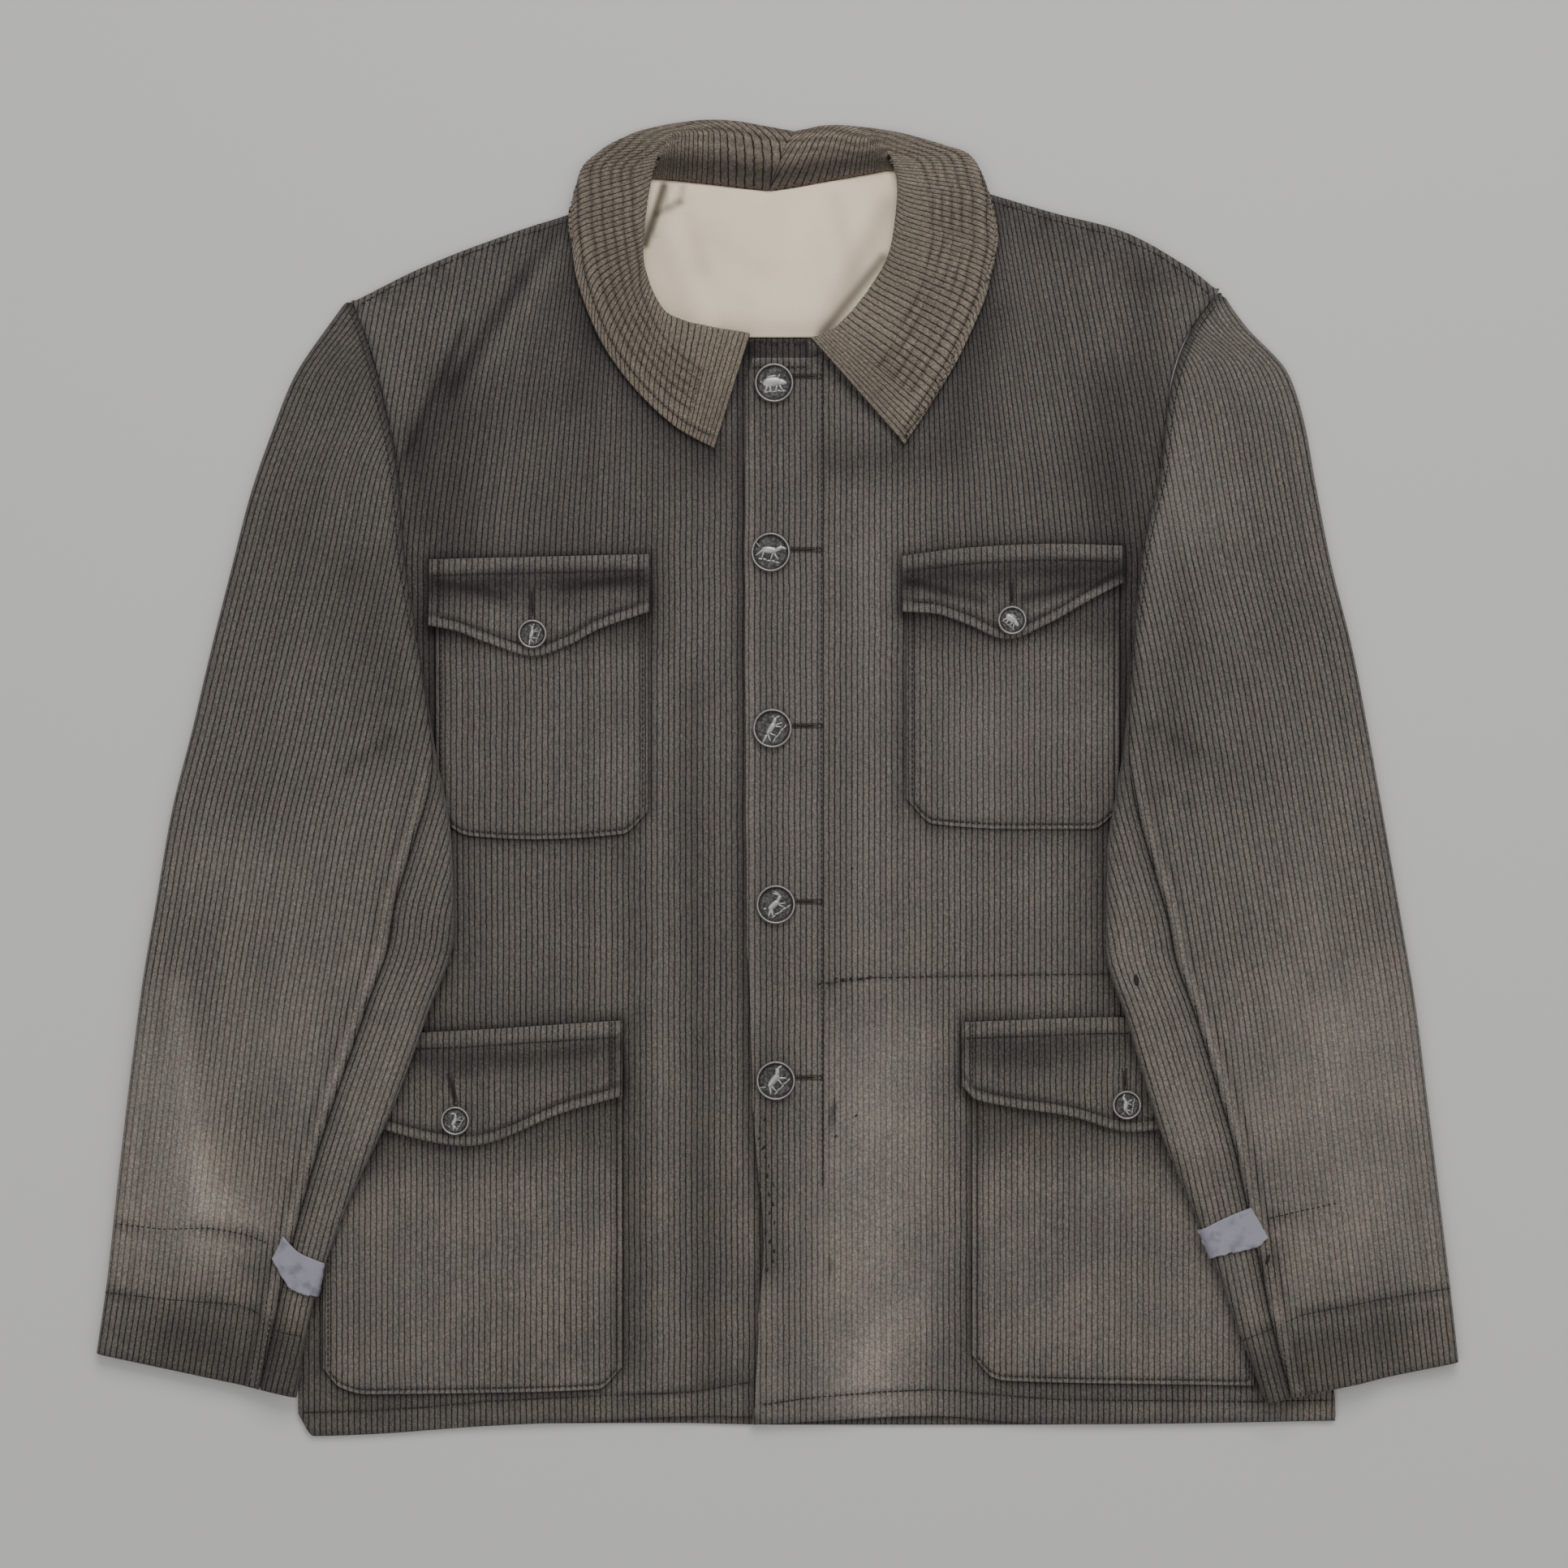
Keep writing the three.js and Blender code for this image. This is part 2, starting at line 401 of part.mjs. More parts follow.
function leftFront() {
  const cover = COVER.left;
  const share = COVER.share;
  const inside = 24; // past this the columns run straight up, and before it they follow the open edge
  const rim = 0.16;
  const xAt = (u, y, top = false) => {
    const side = y === null ? (top ? SHOULDER.at(-1).x : HEM_LEFT.at(-1).x) : edge.sideLeft(y);
    const open = y === null ? PLACKET[0].x : edge.placket(y);
    if (u < rim) return lerp(open, inside, u / rim);
    if (u > 1 - share) return lerp(side, cover, (1 - u) / share);
    return lerp(inside, cover, (u - rim) / (1 - rim - share));
  };
  const laid = evenColumns(cover - PLACKET.at(-2).x, 0, 1 - share);
  const upper = (x) => (x > NECK_LEFT.at(-1).x ? edge.shoulder(x) : edge.neckLeft(x));
  return panel({
    columns: {
      outer: [...laid, 1 - (share * 2) / 3, 1 - share / 3, 1],
      inner: [...range(INNER.body).map((t) => t * (1 - share)), 1 - share / 2, 1],
    },
    rows: range(ROWS.body), lower: edge.hemLeft, upper, xAt, under: leftUnder, thickness: CLOTH.panel,
  });
}

function liningPanel() {
  const x0 = -71;
  const x1 = 68;
  const lower = (x) => Math.max(edge.neckRight(x), edge.neckLeft(x)) + GAP + 1;
  const upper = (x) => edge.shoulder(x) - GAP - 0.3;
  const columns = range(18);
  return panel({
    columns: { outer: columns, inner: columns }, rows: range(ROWS.lining), lower, upper,
    xAt: (u) => lerp(x0, x1, u), under: () => CLOTH.back + GAP, thickness: CLOTH.lining,
  });
}

/** A pocket or a flap: a panel made from the front's points, moved out by a given height. */
function laidPiece(piece, height) {
  const lower = curve(piece.lower, 'x', 'y');
  const upper = curve(piece.upper, 'x', 'y');
  const under = (x, y) => {
    const v = (y - lower(x)) / (upper(x) - lower(x));
    return seatOn(x, y) + GAP + height(v);
  };
  return panel({
    columns: { outer: evenColumns(piece.x1 - piece.x0), inner: range(INNER.laid) }, rows: range(ROWS.laid),
    lower, upper, xAt: (u) => lerp(piece.x0, piece.x1, u), under, thickness: CLOTH.panel,
  });
}

/** Height of a flap's underside over the front, from 0 at its lower edge to 1 at its upper one. */
const flapHeight = (v) => (CLOTH.panel + GAP) * (1 - step(FLAP.seat, FLAP.sewn, v))
  + FLAP.curl * (1 - step(0, FLAP.bent, v));

/** Height of a flap's upper face at a point. */
function flapTop(flap, x, y) {
  const lower = curve(flap.lower, 'x', 'y')(x);
  const upper = curve(flap.upper, 'x', 'y')(x);
  return seatOn(x, y) + GAP + flapHeight((y - lower) / (upper - lower)) + CLOTH.panel;
}

/** A pressed metal button: a low dish inside a raised rim. */
function buttonGeometry(radius) {
  const lip = radius - BUTTON.rim;
  const floor = BUTTON.thick - BUTTON.dish;
  const profile = [
    { r: 0, z: 0 }, { r: radius * BUTTON.rest, z: 0 }, { r: radius, z: BUTTON.thick * 0.45 },
    { r: radius - BUTTON.bevel, z: BUTTON.thick * 0.9 }, { r: radius - BUTTON.rim / 2, z: BUTTON.thick },
    { r: lip, z: floor }, { r: 0, z: floor },
  ];
  const geometry = new THREE.LatheGeometry(profile.map(({ r, z }) => new THREE.Vector2(r, z)), 16);
  return geometry.rotateX(Math.PI / 2);
}

/** Highest point of a surface under a disc. */
function highest(surface, x, y, radius) {
  const heights = [0, 0.5, 1].flatMap((share) => range(12).map((turn) => {
    const angle = turn * Math.PI * 2;
    return surface(x + share * radius * Math.cos(angle), y + share * radius * Math.sin(angle));
  }));
  return Math.max(...heights);
}

/** 1 on a pocket or flap and just round it, sinking to 0 further out. */
function cover(piece, x, y) {
  const near = 8;
  const far = 32;
  const y0 = Math.min(...piece.lower.map((row) => row.y));
  const y1 = Math.max(...piece.upper.map((row) => row.y));
  return step(piece.x0 - far, piece.x0 - near, x) * (1 - step(piece.x1 + near, piece.x1 + far, x))
    * step(y0 - far, y0 - near, y) * (1 - step(y1 + near, y1 + far, y));
}

/** Height of the sleeve's underside: on the floor beside the body, and over it on all that lies there. */
function sleeveFloor(side, x, y) {
  const rim = side === 'right' ? edge.sideRight(y) : edge.sideLeft(y);
  const outside = side === 'right' ? rim - x : x - rim;
  const onBody = 1 - step(SLEEVE.near, SLEEVE.far, outside);
  const lift = (1 - step(SLEEVE.liftFull, SLEEVE.liftTop, y)) * onBody;
  const layers = Object.values(POCKETS).reduce((sum, piece) => sum
    + (CLOTH.panel + GAP) * cover(piece, x, y), 0)
    + Object.values(FLAPS).reduce((sum, piece) => sum
    + (CLOTH.panel + GAP + FLAP.curl) * cover(piece, x, y), 0);
  return lift * (seatOn(x, y) + GAP + SAFE + layers);
}

/** A point on the middle of the sleeve's wall, q millimetres round from the outer fold over the top. */
function sleevePoint(side, table, s, q) {
  const span = Math.hypot(table.ix(s) - table.ox(s), table.iy(s) - table.oy(s));
  const width = span - CLOTH.sleeve;
  const r = table.tall(s) / 2;
  const arc = (Math.PI * r) / 2;
  const half = arc * 2 + width - r * 2;
  const round = q > half ? q - half * 2 : q;
  const m = Math.abs(round);
  let across = r + m - arc;
  let high = r;
  if (m < arc) {
    across = r * (1 - Math.cos(m / r));
    high = r * Math.sin(m / r);
  } else if (m > half - arc) {
    across = width - r + r * Math.sin((m - half + arc) / r);
    high = r * Math.cos((m - half + arc) / r);
  }
  const share = (across + CLOTH.sleeve / 2) / span;
  const x = lerp(table.ox(s), table.ix(s), share);
  const y = lerp(table.oy(s), table.iy(s), share);
  return new THREE.Vector3(x, y, sleeveFloor(side, x, y) + CLOTH.sleeve / 2 + r + Math.sign(round) * high);
}

/** Half the way round the sleeve at a section, and the place of the seam on it. */
function sleeveGirth(table, s) {
  const width = Math.hypot(table.ix(s) - table.ox(s), table.iy(s) - table.oy(s)) - CLOTH.sleeve;
  const r = table.tall(s) / 2;
  const half = Math.PI * r + width - r * 2;
  return { half, seam: half * table.seam(s), lip: (Math.PI * r) / 2 + Math.min(SLEEVE.lip, width * 0.3) };
}

/** A face of a wall whose middle is a surface, moved out along the surface's own normal. */
function offsetFace(middle, distance, flip) {
  const nudge = 1e-3;
  return (u, v) => {
    const du = middle(u + nudge, v).sub(middle(u - nudge, v));
    const dv = middle(u, v + nudge).sub(middle(u, v - nudge));
    const normal = new THREE.Vector3().crossVectors(du, dv).normalize().multiplyScalar(flip);
    return middle(u, v).addScaledVector(normal, distance);
  };
}

/** A part of a sleeve between two lines that run down it. */
function sleeveWall(side, q, columns) {
  const table = sections(side === 'right' ? SLEEVE_RIGHT : SLEEVE_LEFT);
  const middle = (u, v) => sleevePoint(side, table, v, q(table, u, v));
  const flip = side === 'right' ? -1 : 1;
  const outer = offsetFace(middle, CLOTH.sleeve / 2, flip);
  const inner = offsetFace(middle, -CLOTH.sleeve / 2, flip);
  const last = SLEEVE_RIGHT.length - 1;
  const rows = range(ROWS.sleeve).map((t) => t * last);
  return wall(outer, inner, columns.outer, columns.inner, rows);
}

/** The top sleeve: from a seam just beneath the outer fold, over the top, to the visible seam. */
function topSleeve(side) {
  const q = (table, u, v) => {
    const girth = sleeveGirth(table, v);
    return u < 0 ? u * girth.lip : u * (girth.seam - GAP / 2);
  };
  const fold = [-1, -0.3, -0.15, 0, 0.012, 0.03];
  const seam = [0.975, 0.99, 1];
  const laid = (from) => range(INNER.sleeve).map((t) => lerp(from, 0.95, t));
  return sleeveWall(side, q, {
    outer: [...fold, ...laid(0.05), ...seam],
    inner: [...fold, ...laid(0.07), ...seam],
  });
}

/** The under sleeve: from the visible seam round the inner fold and back beneath. */
function underSleeve(side) {
  const q = (table, u, v) => {
    const girth = sleeveGirth(table, v);
    const start = girth.seam + GAP / 2;
    const end = girth.half * 2 - girth.lip - GAP;
    const wide = Math.min(SLEEVE.strip, (end - start) * 0.4);
    return u < 0 ? start + (u + 1) * wide : lerp(start + wide, end, u);
  };
  const laid = range(8).slice(0, -1).map((t) => t - 1);
  const columns = [...laid, ...range(11)];
  return sleeveWall(side, q, { outer: columns, inner: columns });
}

function sleevePatch(patch) {
  const table = sections(patch.sleeve === 'right' ? SLEEVE_RIGHT : SLEEVE_LEFT);
  const middle = (u, v) => {
    const s = lerp(patch.s0, patch.s1, v) + patch.skew * (u - 0.5);
    return sleevePoint(patch.sleeve, table, s, lerp(patch.f0, patch.f1, u) * sleeveGirth(table, s).half);
  };
  const flip = patch.sleeve === 'right' ? -1 : 1;
  const lift = CLOTH.sleeve / 2 + GAP + SAFE;
  const outer = offsetFace(middle, lift + CLOTH.patch, flip);
  const inner = offsetFace(middle, lift, flip);
  const columns = range(6);
  return wall(outer, inner, columns, columns, range(ROWS.patch));
}

/** Middle of the collar's wall: u from the front edge to the centre back, v from neck seam to edge. */
function collarMiddle(rows, shift) {
  const table = sections(rows);
  const last = rows.length - 1;
  return (u, v) => {
    const s = Math.min(last, Math.max(0, u * last));
    const turn = Math.min(1, Math.max(0, table.turn(s)));
    const places = Object.fromEntries(['n', 'r', 's', 'e'].map((key) => [
      key, new THREE.Vector2(table[`${key}x`](s), table[`${key}y`](s))]));
    const points = COLLAR_SECTION.map((row) => {
      const flat = places[row.a].clone().lerp(places[row.b], lerp(row.side, row.back, turn));
      const puffed = (frontTop(flat.x, flat.y) - FRONT.bottom - CLOTH.panel) * (1 - turn);
      return new THREE.Vector3(flat.x + shift * u ** 8, flat.y, lerp(row.sideZ, row.backZ, turn) + puffed);
    });
    const bend = new THREE.CatmullRomCurve3(points, false, 'centripetal');
    const point = bend.getPoint(Math.min(1, Math.max(0, v)));
    return point.setZ(Math.max(point.z, CLOTH.collar / 2 + 0.05));
  };
}

/** One half of the collar, from its front edge to the centre back. */
function collarWall(rows, shift, flip) {
  const middle = collarMiddle(rows, shift);
  const outer = offsetFace(middle, CLOTH.collar / 2, flip);
  const inner = offsetFace(middle, -CLOTH.collar / 2, flip);
  const columns = range(22);
  return wall(outer, inner, columns, columns, range(ROWS.collar));
}

const jacket = new THREE.Group();

/** Adds one named piece in its own colour. */
function add(name, geometry, color, metalness = 0, z = 0, x = 0, y = 0) {
  const roughness = metalness ? 0.45 : 0.95;
  const mesh = new THREE.Mesh(geometry, new THREE.MeshStandardMaterial({ color, roughness, metalness }));
  mesh.name = name;
  mesh.position.set(x, y, z);
  jacket.add(mesh);
}

add('back', backPanel(), COLOURS.cord);
add('lining', liningPanel(), COLOURS.lining);
add('front_right', rightFront(), COLOURS.cord);
add('front_left', leftFront(), COLOURS.worn);
for (const side of ['right', 'left']) {
  add(`sleeve_${side}_top`, topSleeve(side), COLOURS.worn);
  add(`sleeve_${side}_under`, underSleeve(side), COLOURS.cord);
}
for (const patch of PATCHES) add(patch.name, sleevePatch(patch), COLOURS.patch);
add('collar_right', collarWall(COLLAR_RIGHT, -GAP / 2, -1), COLOURS.collar);
add('collar_left', collarWall(COLLAR_LEFT, GAP / 2, 1), COLOURS.collar);
for (const [name, piece] of Object.entries(POCKETS)) add(name, laidPiece(piece, () => 0), COLOURS.worn);
for (const [name, piece] of Object.entries(FLAPS)) add(name, laidPiece(piece, flapHeight), COLOURS.cord);
for (const { name, x, y, radius, flap } of BUTTONS) {
  const surface = flap ? (px, py) => flapTop(FLAPS[flap], px, py) : frontTop;
  const z = highest(surface, x, y, radius * BUTTON.rest) + GAP;
  add(name, buttonGeometry(radius), COLOURS.metal, 0.9, z, x, y);
}

export default jacket;
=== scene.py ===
"""Looks of a hunting jacket of ribbed cotton cord that lies flat on its back.

The pattern maths is in millimetres, as on a cutting table, and every mesh is made in metres in the frame of
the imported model: +X to the wearer's left, +Y to the collar, +Z up to the viewer. Right and left are the
wearer's, so the right front is at -X, under the left one.
"""

import logging
import math
from dataclasses import dataclass
from enum import Enum
from typing import Callable, Iterable, NamedTuple, Sequence

import bmesh
import bpy
import numpy as np
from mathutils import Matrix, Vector


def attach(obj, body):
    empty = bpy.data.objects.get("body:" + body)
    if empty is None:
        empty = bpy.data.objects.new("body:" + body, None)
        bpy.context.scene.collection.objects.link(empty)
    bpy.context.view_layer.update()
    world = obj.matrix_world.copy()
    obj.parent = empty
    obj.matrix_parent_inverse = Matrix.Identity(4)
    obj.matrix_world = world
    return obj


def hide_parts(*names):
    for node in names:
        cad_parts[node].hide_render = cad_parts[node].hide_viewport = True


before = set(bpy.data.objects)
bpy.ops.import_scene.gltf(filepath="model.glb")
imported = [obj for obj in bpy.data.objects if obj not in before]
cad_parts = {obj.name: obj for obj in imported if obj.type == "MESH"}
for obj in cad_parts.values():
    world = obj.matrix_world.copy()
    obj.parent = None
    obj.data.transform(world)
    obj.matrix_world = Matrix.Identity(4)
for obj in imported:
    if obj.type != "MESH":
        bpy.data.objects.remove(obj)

Array = np.ndarray
Surface = Callable[[Array, Array], Array]
Face = Callable[[Array, Array], tuple[Array, Array]]
Colour = tuple[float, float, float, float]
MM = 0.001
BODY = "root"
IMAGE_MM = 917.7  # what the picture's side takes in at the height of the cloth
IMAGE_CENTRE = (3.8, -3.6)  # what lies in the picture's middle

PANEL, BACK, LINING, COLLAR, SLEEVE_WALL, PATCH = 1.8, 2.0, 1.2, 2.0, 1.8, 1.0  # thickness of each wall
GAP = 0.3  # between two pieces that lie on each other
SAFE = 0.7  # more room under the sleeves, for what is sewn on the fronts
PITCH = 3.35  # of the cords
GROOVE = 0.55  # depth between two cords
OVERLAP = 18.0  # how far the right front runs on under the left one
BOTTOM = BACK + GAP  # lowest place of a front
BED = 0.15  # how deep the stitches of the fronts lie
RIGHT_END, LEFT_END = -282, 329  # furthest places of the body
NECK_FOLD = 243.8  # where the left front's neck edge is folded over
SEAM_SHOWS = (6.5, 8)  # sections between which a sleeve's seam comes round to the top
DEEPEST = -1.4  # crease of a sleeve
FLAP_ROOM = 2.6  # for a flap's curl under a sleeve
PLAIN = 9.0  # what the columns of a sleeve's hidden strip are counted to

UP = np.array([0.0, 0.0, 1.0])

log = logging.getLogger("jacket")


def step(low: float, high: float, value: Array) -> Array:
    """0 below low, 1 above high, and an even bend between."""
    t = np.clip((value - low) / (high - low), 0, 1)
    return t * t * (3 - 2 * t)


def lerp(a: Array, b: Array, t: Array) -> Array:
    """Part of the way from a to b."""
    return a + (b - a) * t


def bell(away: Array, width: float) -> Array:
    """1 where away is 0, sinking to both sides like a bell."""
    return np.exp(-(away / width) ** 2)


def fade(inside: Array, depth: float) -> Array:
    """1 at an edge and outside it, sinking inwards."""
    return np.exp(-np.maximum(inside, 0) / depth)


def rolled(inside: Array) -> Array:
    """How far a turned edge of cloth sinks."""
    return -0.7 * fade(inside, 0.9)


def drift(x: Array, y: Array, size: float, seed: int) -> Array:
    """Smooth noise from -1 to 1.

    Args:
        x, y: places in millimetres.
        size: width of one spot.
        seed: of the random lattice.

    Returns:
        The noise at each place.
    """
    lattice = np.random.default_rng(seed).uniform(-1, 1, (64, 64))
    px, py = np.asarray(x) / size, np.asarray(y) / size
    i, j = np.floor(px).astype(int), np.floor(py).astype(int)
    fx, fy = step(0, 1, px - i), step(0, 1, py - j)
    low = lerp(lattice[i % 64, j % 64], lattice[(i + 1) % 64, j % 64], fx)
    high = lerp(lattice[i % 64, (j + 1) % 64], lattice[(i + 1) % 64, (j + 1) % 64], fx)
    return lerp(low, high, fy)


class Curve:
    """A smooth curve through the rows of a table that never swings past them."""

    def __init__(self, rows: Iterable[tuple[float, float]]) -> None:
        """Takes rows of a position and the value there, with the positions rising."""
        self.at, self.value = np.array(sorted(rows), float).T
        slope = np.diff(self.value) / np.diff(self.at)
        product = slope[:-1] * slope[1:]
        total = np.where(product > 0, slope[:-1] + slope[1:], 1)
        inner = np.where(product > 0, 2 * product / total, 0)
        self.bend = np.concatenate([slope[:1], inner, slope[-1:]])

    def __call__(self, position: Array) -> Array:
        """Returns the value at each position, and the end values beyond the ends."""
        p = np.clip(position, self.at[0], self.at[-1])
        i = np.clip(np.searchsorted(self.at, p, side="right") - 1, 0, len(self.at) - 2)
        span = self.at[i + 1] - self.at[i]
        t = (p - self.at[i]) / span
        h = step(0, 1, t)
        level = self.value[i] * (1 - h) + self.value[i + 1] * h
        return level + span * t * (1 - t) * (self.bend[i] * (1 - t) - self.bend[i + 1] * t)


class Streak(NamedTuple):
    """A soft ridge, trough or shade along a straight line on the cloth."""

    x0: float
    y0: float
    x1: float
    y1: float
    width: float
    amount: float


def table(kind: type, *rows: tuple) -> list:
    """Plain rows of numbers as rows of one kind."""
    return [kind(*row) for row in rows]


def along_line(x: Array, y: Array, x0: float, y0: float, x1: float, y1: float) -> tuple[Array, Array]:
    """Returns the share along a line from its start, and the distance from it."""
    dx, dy = x1 - x0, y1 - y0
    t = np.clip(((x - x0) * dx + (y - y0) * dy) / max(dx * dx + dy * dy, 1e-9), 0, 1)
    return t, np.hypot(x - x0 - dx * t, y - y0 - dy * t)


def streaks(rows: Sequence[Streak], x: Array, y: Array) -> Array:
    """Sum of all streaks at each place."""
    total = np.zeros(np.broadcast(x, y).shape)
    for row in rows:
        away = along_line(x, y, row.x0, row.y0, row.x1, row.y1)[1] / row.width
        total = total + row.amount * np.exp(-away * away)
    return total


def from_lines(lines: Sequence[Array], x: Array, y: Array) -> Array:
    """Distance from each place to the nearest of some polylines."""
    nearest = np.full(np.broadcast(x, y).shape, 1e3)
    for line in lines:
        for (x0, y0), (x1, y1) in zip(line[:-1], line[1:]):
            nearest = np.minimum(nearest, along_line(x, y, x0, y0, x1, y1)[1])
    return nearest


SHOULDER = Curve([
    (-247, 280), (-208, 299), (-151, 321), (-120, 331), (-95, 342), (-74, 350), (-51, 347), (-6, 341),
    (39, 348), (69, 355), (95, 351), (125, 342), (162, 331), (200, 321), (241, 299), (256, 287)])
SIDE_RIGHT = Curve([
    (-388, -279), (-369, -281), (-162, -278), (20, -275), (47, -268), (71, -246), (113, -226), (170, -221),
    (218, -227), (253, -236), (280, -247)])
SIDE_LEFT = Curve([
    (-388, 328), (-162, 305), (20, 280), (47, 272), (71, 248), (113, 229), (170, 223), (223, 226),
    (251, 233), (287, 256)])
NECK_RIGHT = Curve([(-92, 343), (-87, 300), (-79, 282), (-68, 270), (-50, 261), (-20, 257), (20, 257)])
NECK_LEFT = Curve([(-20, 246), (18, 246), (35, 254), (52, 266), (66, 282), (78, 302), (86, 325), (93, 351)])
HEM_RIGHT = Curve([
    (-281, -373), (-272, -386), (-241, -385), (-170, -380), (-106, -377), (-51, -374), (20, -375)])
HEM_LEFT = Curve([(-14, -379), (20, -377), (91, -374), (143, -378), (181, -379), (328, -377)])
HEM_BACK = Curve([
    (-281, -371), (-272, -384), (-170, -379), (-60, -378.5), (0, -379.5), (139, -379.5), (328, -377)])
PLACKET = Curve([
    (-379, -14), (-305, -10), (-270, -8), (-210, -13), (-138, -16), (-67, -18), (123, -19), (227, -19),
    (246, -15)])

# Folds of the fronts: how far each raises or sinks the cloth
FOLDS = table(
    Streak,
    (-136, 312, -214, 186, 7, -2.6), (-118, 302, -194, 186, 13, 2.4), (-190, 305, -232, 262, 18, 1.2),
    (-212, 150, -200, -120, 18, -1.6), (-150, 60, -150, -20, 45, 1.8), (-62, 80, -60, -370, 13, 2.6),
    (-40, 60, -36, -370, 10, -1.9), (-84, 20, -80, -340, 9, -0.9), (-175, -230, -160, -340, 50, 1.4),
    (-120, 176, -60, 150, 20, 0.9), (212, 290, 222, 190, 15, -1.6), (192, 300, 175, 160, 24, 2.2),
    (205, 150, 196, -90, 18, -1.6), (60, 110, 52, -120, 30, 1.6), (45, -350, 100, -270, 19, 1.6),
    (70, -210, 62, -330, 16, 1.0), (175, -250, 165, -330, 45, 1.4), (120, 200, 160, 170, 24, 0.9),
    (95, -300, 112, -372, 10, -1.0), (30, -60, 36, -190, 14, -0.7))
# Folds of the lining, and its brightness in stops: painted shade in the slit of the caught loop, round it and
# in the folds, and a dark strip where the cord under the collar shows
LINING_FOLDS = table(
    Streak,
    (-62, 346, -62, 336, 3.5, 2.2), (-63, 340, -71, 320, 3.4, 1.5), (-67, 345, -78, 312, 2, -1.6),
    (-50, 330, -30, 275, 7, 1.0), (40, 345, 52, 300, 8, 1.3), (22, 330, 38, 285, 7, 0.9),
    (-10, 320, 5, 270, 12, 0.7), (-38, 352, -10, 338, 6, 0.6), (-20, 262, 20, 262, 5, 0.6))
LINING_SHADING = table(
    Streak,
    (-66.7, 347, -77.5, 313, 2.2, -2.4), (-65, 347, -74, 324, 5, -0.35),
    (-55.5, 346, -57.2, 337.7, 2.2, -0.6), (-57.2, 337.7, -70.3, 330.6, 2.2, -0.9),
    (-82, 330, -81, 316, 4, -0.45), (-72, 320, -55, 272, 9, -0.3), (62, 305, 26, 260, 3.0, -1.5),
    (-40, 318, -12, 300, 9, -0.12), (-46, 300, -20, 280, 7, -0.1), (64, 335, 30, 266, 7, -0.5),
    (-52, 336, -44, 300, 6, -0.16), (-30, 262, 25, 262, 8, -0.35), (34, 340, 44, 290, 6, -0.14),
    (-60, 352, 60, 354, 3, -0.25), (10, 330, 14, 285, 8, 0.05))
# Brightness of the body in stops: dye worn pale or kept dark, with painted shade in the folds, at the
# armholes and at the under front's top, and painted highlights on raised edges
RIGHT_SHADING_AND_WEAR = table(
    Streak,
    (-16, 253, 20, 253, 5.5, -1.5), (-16, 247, 20, 247, 3, -0.6))
BODY_SHADING_AND_WEAR = table(
    Streak,
    (-189, 230, -192, 20, 20, -0.75), (-196, 10, -214, -150, 20, -0.6), (-130, 320, -150, 294, 4, -0.6),
    (-150, 294, -190, 230, 4.5, -0.9), (-190, 230, -215, 180, 8, -0.5), (-184, 262, -219, 187, 2.6, -1.0),
    (-122, 284, -42, 189, 14, -0.6), (-214, 200, -208, 150, 9, -0.5), (-136, 296, -180, 226, 6, 0.28),
    (-108, 262, -118, 225, 10, -0.25), (-100, 335, -230, 285, 12, -0.3), (110, 338, 235, 292, 12, -0.3),
    (-60, 300, -150, 240, 60, -0.2), (150, 280, 190, 190, 50, -0.12), (-113, 215, -120, 150, 70, -0.3),
    (-228, 240, -240, 205, 6, 0.15), (-51, 50, -40, -371, 9, -0.32), (-70, 60, -66, -360, 9, 0.28),
    (-150, -70, -110, -110, 50, 0.05), (-232, -345, -270, -376, 26, -0.3), (-16, 205, -14, -370, 4, 0.35),
    (196, 225, 200, -110, 20, -0.75), (122, 272, 104, 205, 14, -0.6), (34, 186, 100, 186, 12, -0.5),
    (67, -170, 60, -372, 40, 0.5), (46, -352, 105, -276, 14, 0.2), (60, 100, 60, -100, 50, 0.1),
    (215, 290, 222, 190, 12, -0.5), (260, -360, 322, -366, 16, 0.25), (-5, -165, 0, -196, 12, -0.3),
    (50, 130, 50, -340, 55, 0.18), (130, -20, 150, -120, 40, 0.16), (30, -200, 40, -350, 30, 0.12),
    (150, 200, 120, 160, 40, -0.05), (-14, 243.8, 15, 243.8, 1.8, 0.5), (-14, 239.5, 18, 239.5, 2, -0.4),
    (-9, -200, -3, -285, 6, -0.35), (-6, -300, -4, -372, 7, 0.3), (-92, -366, -22, -352, 3, -0.4),
    (33, -190, 32, -200, 1.6, -1.0), (31, -285, 31, -290, 1.6, -1.0), (-84, 20, -82, -340, 8, -0.22),
    (38, 120, 34, -120, 7, -0.18))


class Body:
    """Form of the two fronts as they lie on the back."""

    level = 1.5  # how far the fronts stand off the back where no fold is
    hollow = 7.0  # the most that a fold raises them

    def puff(self, x: Array, y: Array) -> Array:
        """How high the fronts stand off the back."""
        total = self.level + streaks(FOLDS, x, y) + 0.35 * drift(x, y, 46, 3)
        edges = step(-281, -262, x) * (1 - step(286, 308, x)) * step(-386, -366, y)
        return np.clip(total, 0, self.hollow) * lerp(0.15, 1, edges)

    def right_under(self, x: Array, y: Array) -> Array:
        """Underside of the right front."""
        return BOTTOM + self.puff(x, y)

    def left_under(self, x: Array, y: Array) -> Array:
        """Underside of the left front, which lies over the right one along the placket."""
        return self.right_under(x, y) + (PANEL + GAP) * (1 - step(OVERLAP + 4, OVERLAP + 44, x))

    def top(self, x: Array, y: Array) -> Array:
        """Top of whichever front shows."""
        shown = np.where(x < PLACKET(y), self.right_under(x, y), self.left_under(x, y))
        return shown + PANEL

    def seat(self, x: Array, y: Array) -> Array:
        """The same, for what lies wholly to one side of the placket."""
        return np.where(x < -40, self.right_under(x, y), self.left_under(x, y)) + PANEL


BODY_FORM = Body()


